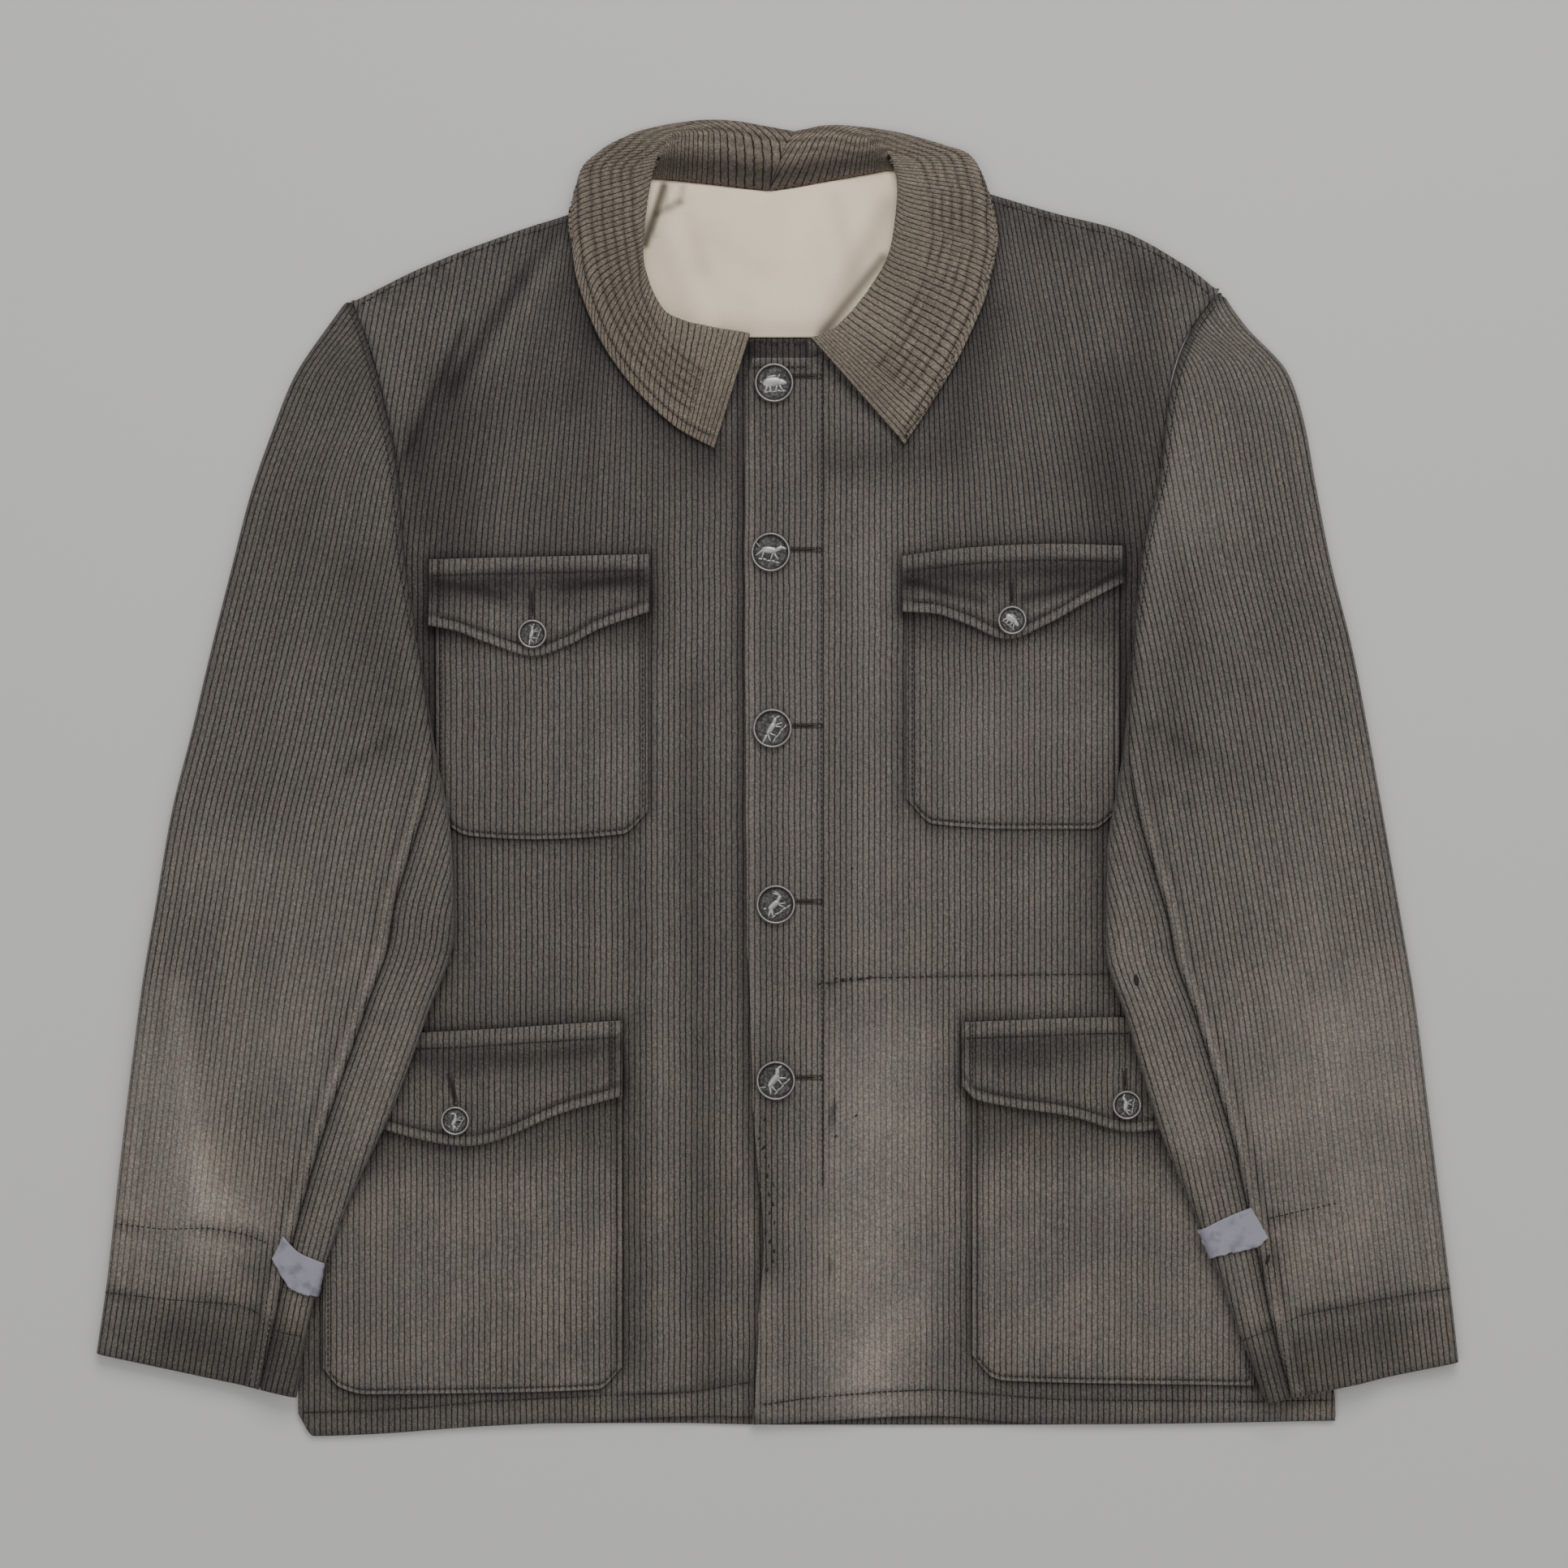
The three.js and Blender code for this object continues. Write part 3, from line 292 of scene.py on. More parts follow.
def lean(x: Array, y: Array) -> Array:
    """How far a cord of the fronts has moved to the neck at a height, where the yokes are pulled askew."""
    above = np.maximum(y - 118, 0)
    rise = above * above / (above + 70)
    return rise * (0.2 * step(-50, -190, x) - 0.22 * step(60, 190, x))


def cord_at(x: Array, y: Array) -> Array:
    """The cord of the fronts at a place, counted from the middle."""
    start = x
    for _ in range(4):
        start = x - lean(start, y)
    return start / PITCH


class Laid(NamedTuple):
    """A patch pocket or a flap: its two sides, and its upper and lower edge."""

    x0: float
    x1: float
    upper: Curve
    lower: Curve


POCKETS = {
    "pocket_chest_right": Laid(-200, -76, Curve([(-200, 112), (-76, 114)]), Curve([
        (-200, -10), (-191, -29), (-180, -34), (-142, -36), (-91, -33), (-76, -20)])),
    "pocket_chest_left": Laid(76, 200, Curve([(76, 114), (200, 118)]), Curve([
        (76, -13), (91, -27), (139, -30), (184, -30), (200, -19)])),
    "pocket_hip_right": Laid(-266, -91, Curve([(-266, -172), (-91, -166)]), Curve([
        (-266, -346), (-256, -357), (-241, -361), (-170, -360), (-105, -358), (-91, -345)])),
    "pocket_hip_left": Laid(114, 279, Curve([(114, -163), (279, -163)]), Curve([
        (114, -338), (126, -351), (134, -353), (279, -356)])),
}
# Painted shade and highlights of each flap's folds and edges in stops, beside what all flaps have
FLAP_SHADING = {
    "flap_chest_right": table(
        Streak,
        (-200, 115, -160, 106, 2.6, -0.8), (-126, 110, -82, 118, 2.6, -0.6),
        (-165, 121, -92, 123, 3.2, -0.4), (-188, 108, -165, 97, 4, 0.25)),
    "flap_chest_left": table(
        Streak,
        (78, 114.7, 98, 109.5, 2.6, -1.0), (98, 109.5, 120, 104, 2.4, -0.9),
        (144, 105, 202, 118.5, 3.0, -1.2), (84, 106, 112, 98, 3, 0.3), (150, 98, 192, 110, 3, 0.3)),
    "flap_hip_right": table(
        Streak,
        (-190, -172, -110, -160, 4, -0.35), (-96, -168, -92, -184, 5, -0.5)),
    "flap_hip_left": table(
        Streak,
        (116, -164, 160, -166, 4, -0.4), (112, -156, 113, -178, 4, 0.3)),
}
FLAPS = {
    "flap_chest_right": Laid(-204, -75, Curve([(-204, 128), (-75, 131)]), Curve([
        (-204, 89), (-189, 86), (-170, 79), (-142, 71), (-123, 77), (-104, 87), (-75, 97)])),
    "flap_chest_left": Laid(73, 202, Curve([(73, 130), (115, 135), (162, 137), (202, 136)]), Curve([
        (73, 97), (91, 96), (110, 90), (134, 81), (158, 90), (181, 103), (202, 114)])),
    "flap_hip_right": Laid(-268, -91, Curve([(-268, -151), (-208, -149), (-91, -142)]), Curve([
        (-268, -188), (-229, -206), (-181, -215), (-123, -195), (-91, -186)])),
    "flap_hip_left": Laid(108, 281, Curve([(108, -143), (203, -140), (281, -141)]), Curve([
        (108, -180), (116, -188), (172, -198), (207, -207), (281, -187)])),
}


def share_up(piece: Laid, x: Array, y: Array) -> Array:
    """0 at a laid piece's lower edge and 1 at its upper edge."""
    low = piece.lower(x)
    return (y - low) / (piece.upper(x) - low)


def flap_height(piece: Laid, x: Array, y: Array) -> Array:
    """How far a flap's underside stands off the front: over its pocket, and curled up at its edge."""
    v = share_up(piece, x, y)
    ends = np.minimum(np.abs(x - piece.x0), np.abs(x - piece.x1))
    corner = bell(ends, 14) * (1 - step(0, 0.6, v)) * 1.4
    curl = 2.4 * (1 + 0.4 * drift(x, y * 0, 26, 15)) * (1 - step(0, 0.46, v))
    swell = 0.7 * bell(piece.upper(x) - y - 5, 4) * step(0, 3, piece.upper(x) - y)
    return (PANEL + GAP) * (1 - step(0.74, 1.1, v)) + curl + corner + swell


def flap_top(name: str, x: Array, y: Array) -> Array:
    """Top of a flap."""
    return BODY_FORM.seat(x, y) + GAP + flap_height(FLAPS[name], x, y) + PANEL


def cover(piece: Laid, x: Array, y: Array) -> Array:
    """1 on a laid piece and just round it, sinking to 0 further out."""
    low, high = piece.lower.value.min(), piece.upper.value.max()
    wide = step(piece.x0 - 32, piece.x0 - 8, x) * (1 - step(piece.x1 + 8, piece.x1 + 32, x))
    return wide * step(low - 32, low - 8, y) * (1 - step(high + 8, high + 32, y))


class Station(NamedTuple):
    """A section of a sleeve: outer edge, inner edge, height of the tube, and place of the visible seam."""

    s: float
    ox: float
    oy: float
    ix: float
    iy: float
    tall: float
    seam: float


SLEEVE_RIGHT = table(
    Station,
    (0, -254, 278, -249.2, 279, 3.2, .99), (1, -265, 263, -241.4, 261, 3.4, .99),
    (2, -284, 234, -234.4, 238, 4.0, .99), (3, -296, 204, -228.4, 211, 4.6, .99),
    (4, -309, 166, -222.2, 180, 5.4, .99), (5, -320, 123, -217, 128, 6.2, .99),
    (6, -332, 75, -208, 72, 7.0, .99), (7, -343, 28, -200, 18, 7.4, .98),
    (8, -355, -20, -190, -40, 7.8, .86), (9, -364, -72, -189, -90, 7.8, .79),
    (10, -372, -119, -204, -138, 7.8, .785), (11, -379, -172, -223, -190, 7.6, .776),
    (12, -387, -240, -256, -262, 7.4, .815), (13, -393, -295, -274, -318, 7.4, .835),
    (14, -399, -337, -281, -362, 8.0, .81))
SLEEVE_LEFT = table(
    Station,
    (0, 263, 280, 258.4, 285, 3.2, .99), (1, 276, 263, 243.6, 265, 3.4, .99),
    (2, 300, 236, 234.6, 245, 4.0, .99), (3, 309, 208, 228.0, 217, 4.6, .99),
    (4, 315, 175, 224, 182, 5.4, .99), (5, 324, 128, 212.5, 132, 6.2, .99),
    (6, 337, 75, 206.5, 74, 7.0, .99), (7, 347, 23, 202, 18, 7.4, .97), (8, 357, -34, 192.5, -44, 7.8, .85),
    (9, 366, -86, 192, -98, 7.8, .776), (10, 374, -134, 205, -146, 7.8, .76),
    (11, 381, -190, 223, -206, 7.6, .747), (12, 389, -255, 250, -270, 7.4, .795),
    (13, 395, -305, 270, -325, 7.4, .84), (14, 399, -342, 285, -365, 8.0, .865))
# Creases of the sleeves, and their brightness in stops: dye worn pale or kept dark, with painted shade in the
# creases and along the inner edges
SLEEVE_FOLDS = {
    "right": table(
        Streak,
        (-215, 30, -250, 12, 7, 1.3), (-212, 8, -262, -6, 6, -1.0), (-240, 190, -262, 60, 24, 1.0),
        (-330, -60, -300, -200, 26, 1.2), (-300, 120, -290, -40, 30, 0.8),
        (-350, -235, -330, -330, 20, 1.0), (-310, -285, -300, -345, 8, -1.2),
        (-330, -262, -330, -263, 30, -0.5)),
    "left": table(
        Streak,
        (226, 40, 262, 22, 7, 1.2), (216, 4, 262, -8, 6, -1.0), (236, 190, 262, 60, 24, 1.0),
        (330, -60, 302, -200, 26, 1.2), (300, 120, 290, -40, 30, 0.8), (350, -240, 330, -330, 20, 1.0),
        (318, -292, 300, -345, 8, -1.2), (330, -250, 345, -262, 20, -0.6)),
}
SLEEVE_SHADING_AND_WEAR = {
    "right": table(
        Streak,
        (-265, 240, -290, 120, 50, -0.35), (-240, 120, -225, 20, 16, -0.3),
        (-374, -138, -330, -262, 22, 0.35), (-352, -120, -336, -255, 7, 0.3),
        (-330, -20, -330, -140, 40, 0.1), (-320, -250, -300, -262, 14, 0.25),
        (-196, 40, -178, -30, 4, -0.5), (-226, 22, -250, 6, 3, -0.5), (-290, -60, -262, -170, 24, 0.1),
        (-350, -330, -300, -345, 26, -0.7), (-300, -290, -290, -330, 12, -0.4),
        (-258, -190, -290, -280, 10, -0.2)),
    "left": table(
        Streak,
        (265, 240, 300, 100, 50, -0.3), (238, 120, 232, 20, 16, -0.35), (340, -120, 345, -240, 40, 0.2),
        (310, -20, 300, -140, 36, 0.1), (218, 30, 244, 16, 3, -0.5), (214, -4, 240, -14, 3, -0.45),
        (350, -325, 300, -345, 26, -0.65), (286, -281, 288, -300, 8, -0.7),
        (258, -190, 290, -280, 10, -0.2)),
}
# How much paler the sleeves are along their length, in stops
SLEEVE_WORN = {
    "right": Curve([(-390, .42), (-300, .5), (-200, .5), (-80, .1), (300, .02)]),
    "left": Curve([(-390, .5), (-200, .45), (-80, .22), (60, .2), (150, .44), (300, .44)]),
}
# The cuff's stitch line and the mark of an old hem, across the top of the sleeve
CUFF_LINES = {
    "right": ([(-394, -301), (-360, -304.7), (-317, -308), (-305, -312), (-291, -323.7), (-275, -326)],
              [(-386, -261), (-360, -264), (-331.6, -263.4), (-312.6, -266.7), (-296, -272.4)]),
    "left": ([(394, -298.5), (371, -302), (348, -305.7), (324, -309.5), (305, -314), (286, -322),
              (269, -329)], [(286, -257), (329, -247.7)]),
}
# Upper and lower edge of the two repairs
PATCH_EDGES = {
    "right": ([(-287.9, -267.2), (-279.3, -276.2), (-265.5, -282.4)],
              [(-294.5, -280.5), (-289.8, -289.0), (-283.1, -298.1), (-270.8, -302.3)]),
    "left": ([(247.0, -263.4), (262.2, -255.8), (276.0, -250.3)],
             [(252.7, -280.0), (258.9, -278.1), (279.8, -272.9), (286.0, -268.1)]),
}


class Rib(NamedTuple):
    """A section of the collar: neck seam, roll, contour, edge, and how far it has turned to the back."""

    nx: float
    ny: float
    rx: float
    ry: float
    sx: float
    sy: float
    ex: float
    ey: float
    turn: float


COLLAR_RIGHT = table(
    Rib,
    (-22, 253, -16, 259, -35, 199, -37, 193, 0), (-42, 252, -40, 263, -54, 208, -56, 203, 0),
    (-71, 263, -65, 271, -78, 230, -81, 225, 0), (-85, 283, -76, 291, -101, 261, -105, 259, 0),
    (-90, 305, -79, 306, -114, 301, -119, 300, 0), (-90, 327, -78, 328, -120, 328, -121, 327, .1),
    (-84, 347, -74, 353, -115, 354, -108, 350, .4), (-74, 351, -69, 368, -97, 371, -92, 362, .65),
    (-62, 350, -57, 378, -73, 380, -72, 362, .85), (-42, 348, -35, 379, -38, 385, -42, 360, 1),
    (-5, 344, 5, 371, 10, 378.5, 2, 356, 1))
COLLAR_LEFT = table(
    Rib,
    (25, 249, 20, 256, 71, 199, 74, 195, 0), (40, 254, 33, 262, 87, 222, 90, 219, 0),
    (60, 273, 51, 281, 106, 256, 110, 254, 0), (76, 296, 64, 302, 120, 291, 124, 290, 0),
    (84, 318, 69, 322, 126, 317, 127, 316, .05), (84, 340, 71, 343, 122, 345, 119, 348, .18),
    (76, 355, 69, 358, 112, 364, 105, 359, .5), (66, 356, 64, 368, 91, 372, 88, 363, .75),
    (55, 354, 54, 375, 67, 378, 66, 364, .9), (32, 350, 33, 376, 35, 382, 33, 360, 1),
    (-5, 344, 5, 371, 10, 378.5, 2, 356, 1))


class Bend(NamedTuple):
    """A point of the collar's section: between which places it lies, how far, and how high, side and back."""

    a: str
    b: str
    side: float
    side_z: float
    back: float
    back_z: float


COLLAR_SECTION = [
    Bend("n", "r", 0, 5.6, 0, 3.3), Bend("n", "r", .5, 7.0, .4, 4.2), Bend("n", "r", .86, 8.8, .75, 4.6),
    Bend("n", "r", 1, 10.8, 1, 4.8), Bend("r", "s", .07, 12.9, .35, 4.8), Bend("r", "s", .4, 12.3, .65, 4.6),
    Bend("r", "s", .8, 8.9, .9, 4.2), Bend("r", "s", 1, 7.4, 1, 2.8), Bend("s", "e", .5, 6.9, .07, 1.4),
    Bend("s", "e", 1, 6.5, 1, 1.0),
]


class Socket:
    """A number in a node tree that takes the usual signs of arithmetic."""

    def __init__(self, tree: "Shader", link: bpy.types.NodeSocket) -> None:
        """Wraps one output of a node."""
        self.tree = tree
        self.link = link

    def _math(self, operation: str, a: "Socket | float", b: "Socket | float") -> "Socket":
        """Adds one Math node on two numbers."""
        return self.tree.out("ShaderNodeMath", {"operation": operation}, {0: a, 1: b})

    def __add__(self, other: "Socket | float") -> "Socket":
        """Sum."""
        return self._math("ADD", self, other)

    def __sub__(self, other: "Socket | float") -> "Socket":
        """Difference."""
        return self._math("SUBTRACT", self, other)

    def __rsub__(self, other: float) -> "Socket":
        """Difference from a plain number."""
        return self._math("SUBTRACT", other, self)

    def __mul__(self, other: "Socket | float") -> "Socket":
        """Product."""
        return self._math("MULTIPLY", self, other)

    __radd__ = __add__
    __rmul__ = __mul__

    def fraction(self) -> "Socket":
        """What is left after the whole number."""
        return self._math("FRACT", self, 0)

    def floor(self) -> "Socket":
        """The whole number below."""
        return self._math("FLOOR", self, 0)

    def size(self) -> "Socket":
        """Absolute value."""
        return self._math("ABSOLUTE", self, 0)

    def smooth(self, low: float, high: float) -> "Socket":
        """0 below low, 1 above high, and an even bend between."""
        settings = {"interpolation_type": "SMOOTHSTEP"}
        return self.tree.out("ShaderNodeMapRange", settings, {0: self, 1: low, 2: high, 3: 0.0, 4: 1.0})


Value = Socket | float | tuple


class Shader:
    """A material under construction."""

    def __init__(self, name: str) -> None:
        """Starts a material with one Principled BSDF."""
        self.material = bpy.data.materials.new(name)
        self.material.use_nodes = True
        self.tree = self.material.node_tree
        self.bsdf = self.tree.nodes["Principled BSDF"]

    def node(self, kind: str, settings: dict[str, object], inputs: dict[int | str, Value]) -> bpy.types.Node:
        """Adds a node.

        Args:
            kind: the node's type.
            settings: its own properties, set before its sockets.
            inputs: values or links of its sockets, by index or name.

        Returns:
            The node.
        """
        made = self.tree.nodes.new(kind)
        for key, value in settings.items():
            if key == "stops":
                self._stops(made.color_ramp, value)
            else:
                setattr(made, key, value)
        for key, value in inputs.items():
            if isinstance(value, Socket):
                self.tree.links.new(value.link, made.inputs[key])
            else:
                made.inputs[key].default_value = value
        return made

    @staticmethod
    def _stops(ramp: bpy.types.ColorRamp, stops: Sequence[tuple[float, tuple]]) -> None:
        """Sets the stops of a colour ramp."""
        for place, colour in stops[2:]:
            ramp.elements.new(place).color = colour
        for element, (place, colour) in zip(ramp.elements, stops):
            element.position, element.color = place, colour

    def out(self, kind: str, settings: dict[str, object], inputs: dict[int | str, Value],
            output: int | str = 0) -> Socket:
        """Adds a node and returns one of its outputs."""
        return Socket(self, self.node(kind, settings, inputs).outputs[output])

    def mix(self, a: Value, b: Value, factor: Value) -> Socket:
        """Mixes two colours."""
        settings = {"data_type": "RGBA"}
        return self.out("ShaderNodeMix", settings, {0: factor, 6: a, 7: b}, 2)

    def scaled(self, colour: Value, factor: Value) -> Socket:
        """A colour made brighter or darker by a number."""
        plain = colour if isinstance(colour, Socket) else colour[:3]
        return self.out("ShaderNodeVectorMath", {"operation": "SCALE"}, {0: plain, 3: factor})

    def noise(self, vector: Value, scale: float, detail: float = 2.0) -> Socket:
        """Smooth noise from 0 to 1."""
        return self.out("ShaderNodeTexNoise", {}, {"Vector": vector, "Scale": scale, "Detail": detail})

    def place(self) -> Socket:
        """The place in the garment's own frame."""
        return self.out("ShaderNodeTexCoord", {}, {}, "Object")

    def split(self, vector: Value) -> list[Socket]:
        """The three parts of a vector."""
        return [Socket(self, part) for part in self.node("ShaderNodeSeparateXYZ", {}, {0: vector}).outputs]

    def weave(self) -> list[Socket]:
        """What the cloth carries: its place across the cords, its place along them and its tone."""
        return self.split(self.out("ShaderNodeAttribute", {"attribute_name": "weave"}, {}, "Vector"))

    def bump(self, height: Value, strength: float, distance: float) -> None:
        """Roughens the surface by a height, without moving it."""
        inputs = {"Strength": strength, "Distance": distance, "Height": height}
        self.set(Normal=self.out("ShaderNodeBump", {}, inputs, "Normal"))

    def set(self, **values: Value) -> None:
        """Sets sockets of the surface by name, with underscores for spaces."""
        for key, value in values.items():
            target = self.bsdf.inputs[key.replace("_", " ")]
            if isinstance(value, Socket):
                self.tree.links.new(value.link, target)
            else:
                target.default_value = value


def linear(red: float, green: float, blue: float) -> Colour:
    """A display colour from 0 to 255 as a linear one."""
    def one(value: float) -> float:
        """One channel."""
        share = value / 255
        return share / 12.92 if share <= 0.04045 else ((share + 0.055) / 1.055) ** 2.4
    return one(red), one(green), one(blue), 1.0


@dataclass(frozen=True)
class CordCloth:
    """Ribbed cotton cord: rounded cords, thin sunken lines between them darkened as painted shade, faded and
    speckled.
    """

    name: str
    colour: Colour
    warm: Colour
    cool: Colour
    faded: Colour
    # The sunken line's darkness is painted shade of the groove.
    line: float = 0.9  # how dark the sunken line is
    edge: float = 0.6  # where it begins, from the crest's middle at 0 to the line's at 1

    def make(self) -> bpy.types.Material:
        """Returns the material."""
        sh = Shader(self.name)
        across, along, tone = sh.weave()
        place = sh.place()
        wander = (sh.noise(place, 330.0, 2.0) - 0.5) * 0.3
        cell = (across + wander).fraction()
        groove_shade = ((cell - 0.5).size() * 2).smooth(self.edge, 0.96)
        cord = sh.out("ShaderNodeTexWhiteNoise", {"noise_dimensions": "1D"}, {"W": across.floor()})
        run = sh.out("ShaderNodeCombineXYZ", {}, {0: across * 0.9, 1: along * 45.0, 2: across.floor() * 3.7})
        streak = sh.noise(run, 1.0, 3.0)
        grain = sh.noise(place, 1300.0, 3.0).smooth(0.3, 0.7)
        lint = sh.noise(place, 520.0, 3.0).smooth(0.3, 0.7)
        patch = sh.noise(place, 26.0, 4.0)
        hue = sh.noise(run, 1.7, 2.0)
        low = (0.02 - sh.split(place)[1]).smooth(0.0, 0.3) * patch.smooth(0.35, 0.7)
        colour = sh.mix(self.colour, self.faded, low * 0.45)
        colour = sh.mix(colour, self.warm, hue.smooth(0.54, 0.74) * 0.22)
        colour = sh.mix(colour, self.cool, (1.0 - hue).smooth(0.56, 0.76) * 0.22)
        bright = (0.88 + cord * 0.12 + streak * 0.14) * (0.7 + grain * 0.58)
        bright = bright * (0.8 + lint * 0.38) * (0.8 + patch * 0.4)
        # Painted shade in the sunken lines, deeper where the tone is darker.
        dark_tone = (2.0 - tone).smooth(0.2, 1.0)
        depth = groove_shade * (self.line + streak * 0.4 - 0.2) * (0.42 + dark_tone * 0.58)
        sh.set(Base_Color=sh.scaled(colour, bright * tone * (1.0 - depth)), Roughness=0.93)
        sh.set(Sheen_Weight=0.12, Sheen_Roughness=0.6, Specular_IOR_Level=0.2)
        sh.bump(grain * 0.6 + lint * 0.5 + streak * 0.3, 0.7, 0.0006)
        return sh.material


@dataclass(frozen=True)
class PlainCloth:
    """Plain woven cotton, with fine yarns both ways."""

    name: str
    colour: Colour
    stain: Colour
    yarn: float = 2600.0

    def make(self) -> bpy.types.Material:
        """Returns the material."""
        sh = Shader(self.name)
        tone = sh.weave()[2]
        place = sh.place()
        yarns = {"Vector": place, "Scale": self.yarn / 6.0, "Distortion": 1.5, "Detail": 1.0}
        warp, weft = (sh.out("ShaderNodeTexWave", {"bands_direction": way}, yarns, "Fac") for way in "XY")
        slub = sh.noise(place, 180.0, 4.0)
        cloud = sh.noise(place, 16.0, 3.0)
        colour = sh.mix(self.colour, self.stain, cloud.smooth(0.5, 0.75) * 0.6)
        sh.set(Base_Color=sh.scaled(colour, (0.93 + warp * 0.05 + weft * 0.05 + slub * 0.06) * tone))
        sh.set(Roughness=0.9, Sheen_Weight=0.08, Specular_IOR_Level=0.25)
        sh.bump(warp + weft + slub, 0.4, 0.0003)
        return sh.material


@dataclass(frozen=True)
class TapePatch:
    """A pale, smooth repair with a slightly smeared surface."""

    name: str
    colour: Colour
    dark: Colour

    def make(self) -> bpy.types.Material:
        """Returns the material."""
        sh = Shader(self.name)
        place = sh.place()
        smear = sh.noise(place, 120.0, 4.0)
        grain = sh.noise(place, 900.0, 2.0)
        colour = sh.mix(self.colour, self.dark, smear.smooth(0.48, 0.72))
        sh.set(Base_Color=sh.scaled(colour, 0.9 + grain * 0.2), Roughness=0.7 + smear * 0.1)
        sh.bump(smear + grain * 0.4, 0.35, 0.0004)
        return sh.material


@dataclass(frozen=True)
class AgedMetal:
    """Pressed button metal: bright where it is rubbed, dark in the ground behind the relief."""

    name: str
    bright: Colour
    dark: Colour

    def make(self) -> bpy.types.Material:
        """Returns the material. The rub attribute is 1 on raised metal and 0 in the ground."""
        sh = Shader(self.name)
        rub = sh.out("ShaderNodeAttribute", {"attribute_name": "rub"}, {}, "Fac")
        place = sh.place()
        blot = sh.noise(place, 700.0, 4.0)
        fine = sh.noise(place, 3000.0, 2.0)
        worn = (rub + (blot - 0.5) * 0.5).smooth(0.15, 0.8)
        sh.set(Base_Color=sh.mix(self.dark, self.bright, worn), Metallic=0.55 + rub * 0.3)
        sh.set(Roughness=0.5 - worn * 0.14 + fine * 0.1)
        sh.bump(blot + fine * 0.5, 0.3, 0.0001)
        return sh.material


@dataclass(frozen=True)
class Thread:
    """Sewing thread."""

    name: str
    colour: Colour

    def make(self) -> bpy.types.Material:
        """Returns the material."""
        sh = Shader(self.name)
        fuzz = sh.noise(sh.place(), 1200.0, 2.0)
        sh.set(Base_Color=sh.scaled(self.colour, 0.7 + fuzz * 0.6), Roughness=0.85)
        sh.bump(fuzz, 0.3, 0.0002)
        return sh.material


class Cloth(NamedTuple):
    """What a wall is cut from: its material, the slot that it fills and its thickness in millimetres."""

    material: bpy.types.Material
    slot: str
    thick: float


class Finishes:
    """Every material of the jacket, made once."""

    def __init__(self) -> None:
        """Makes the materials."""
        warm, cool = linear(122, 96, 90), linear(84, 92, 84)
        faded = linear(113, 105, 91)
        body = CordCloth("cord_body", linear(102, 96, 91), warm, cool, faded).make()
        sleeve = CordCloth("cord_sleeve", linear(103, 97, 91), warm, cool, faded).make()
        collar = CordCloth("cord_collar", linear(120, 109, 97), linear(130, 106, 90), linear(96, 98, 88),
                           linear(120, 109, 97), edge=0.66).make()
        lining = PlainCloth("lining_cotton", linear(255, 236, 208), linear(252, 226, 196)).make()
        patch = TapePatch("repair", linear(146, 143, 154), linear(120, 118, 128)).make()
        self.panel = Cloth(body, "cord_cloth", PANEL)
        self.back = Cloth(body, "cord_cloth", BACK)
        self.sleeve = Cloth(sleeve, "cord_cloth", SLEEVE_WALL)
        self.collar = Cloth(collar, "collar_cloth", COLLAR)
        self.lining = Cloth(lining, "lining_cotton", LINING)
        self.patch = Cloth(patch, "patch_cloth", PATCH)
        self.metal = AgedMetal("button_metal", (0.40, 0.385, 0.36, 1), (0.022, 0.020, 0.018, 1)).make()
        # The thread is dark, so that the stitch lines also carry the painted shade of their sunken grooves.
        self.thread = Thread("thread_and_groove_shade", linear(43, 39, 36)).make()
        self.pale = Thread("thread_pale", linear(112, 104, 97)).make()
        self.brown = Thread("thread_brown", linear(74, 65, 56)).make()
        self.dark = Thread("thread_dark", linear(36, 32, 30)).make()
        self.rust = Thread("thread_rust", linear(110, 76, 56)).make()


def dress(obj: bpy.types.Object, material: bpy.types.Material, slot: str) -> bpy.types.Object:
    """Gives an object its material and body."""
    obj.data.materials.clear()
    obj.data.materials.append(material)
    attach(obj, BODY)
    return obj


def linked(name: str, mesh: bpy.types.Mesh, smooth: bool = True) -> bpy.types.Object:
    """Shades a mesh and puts it into the scene as an object."""
    for polygon in mesh.polygons:
        polygon.use_smooth = smooth
    obj = bpy.data.objects.new(name, mesh)
    bpy.context.scene.collection.objects.link(obj)
    return obj


def from_bmesh(name: str, bm: bmesh.types.BMesh, smooth: bool = True) -> bpy.types.Object:
    """Makes a bmesh an object in the scene, and frees it."""
    mesh = bpy.data.meshes.new(name)
    bm.to_mesh(mesh)
    bm.free()
    return linked(name, mesh, smooth)


def cord_columns(low: float, high: float, sparse: Sequence[tuple[float, float]] = ()) -> Array:
    """Columns over cords: the sunken line and both shoulders of each, in cord counts.

    Args:
        low, high: first and last place, in cords.
        sparse: ranges where a cord has its line and crest only.

    Returns:
        The columns in order.
    """
    marks = [low, high]
    for cord in range(math.floor(low), math.ceil(high) + 1):
        hidden = any(a <= cord < b for a, b in sparse)
        marks += [cord + part for part in ((0, 0.5) if hidden else (0, 0.2, 0.8))]
    kept = sorted(mark for mark in marks if low <= mark <= high)
    return np.array([mark for i, mark in enumerate(kept) if i == 0 or mark - kept[i - 1] > 0.02])


def cord_relief(across: Array, depth: float = GROOVE) -> Array:
    """Depth of the surface below the crests at a place in cord counts."""
    away = np.abs(across - np.floor(across) - 0.5) * 2
    return -depth * step(0.55, 1, away) - 0.06 * away * away


def refined(low: float, high: float, pitch: float, lines: Sequence[float] = (), reach: float = 1.6) -> Array:
    """Row places at an even pitch, with closer ones about some lines."""
    rows = list(np.linspace(low, high, max(2, round((high - low) / pitch)) + 1))
    for line in lines:
        rows = [row for row in rows if abs(row - line) > reach * 1.5]
        rows += [line - reach, line, line + reach]
    return np.array(sorted(row for row in rows if low <= row <= high))


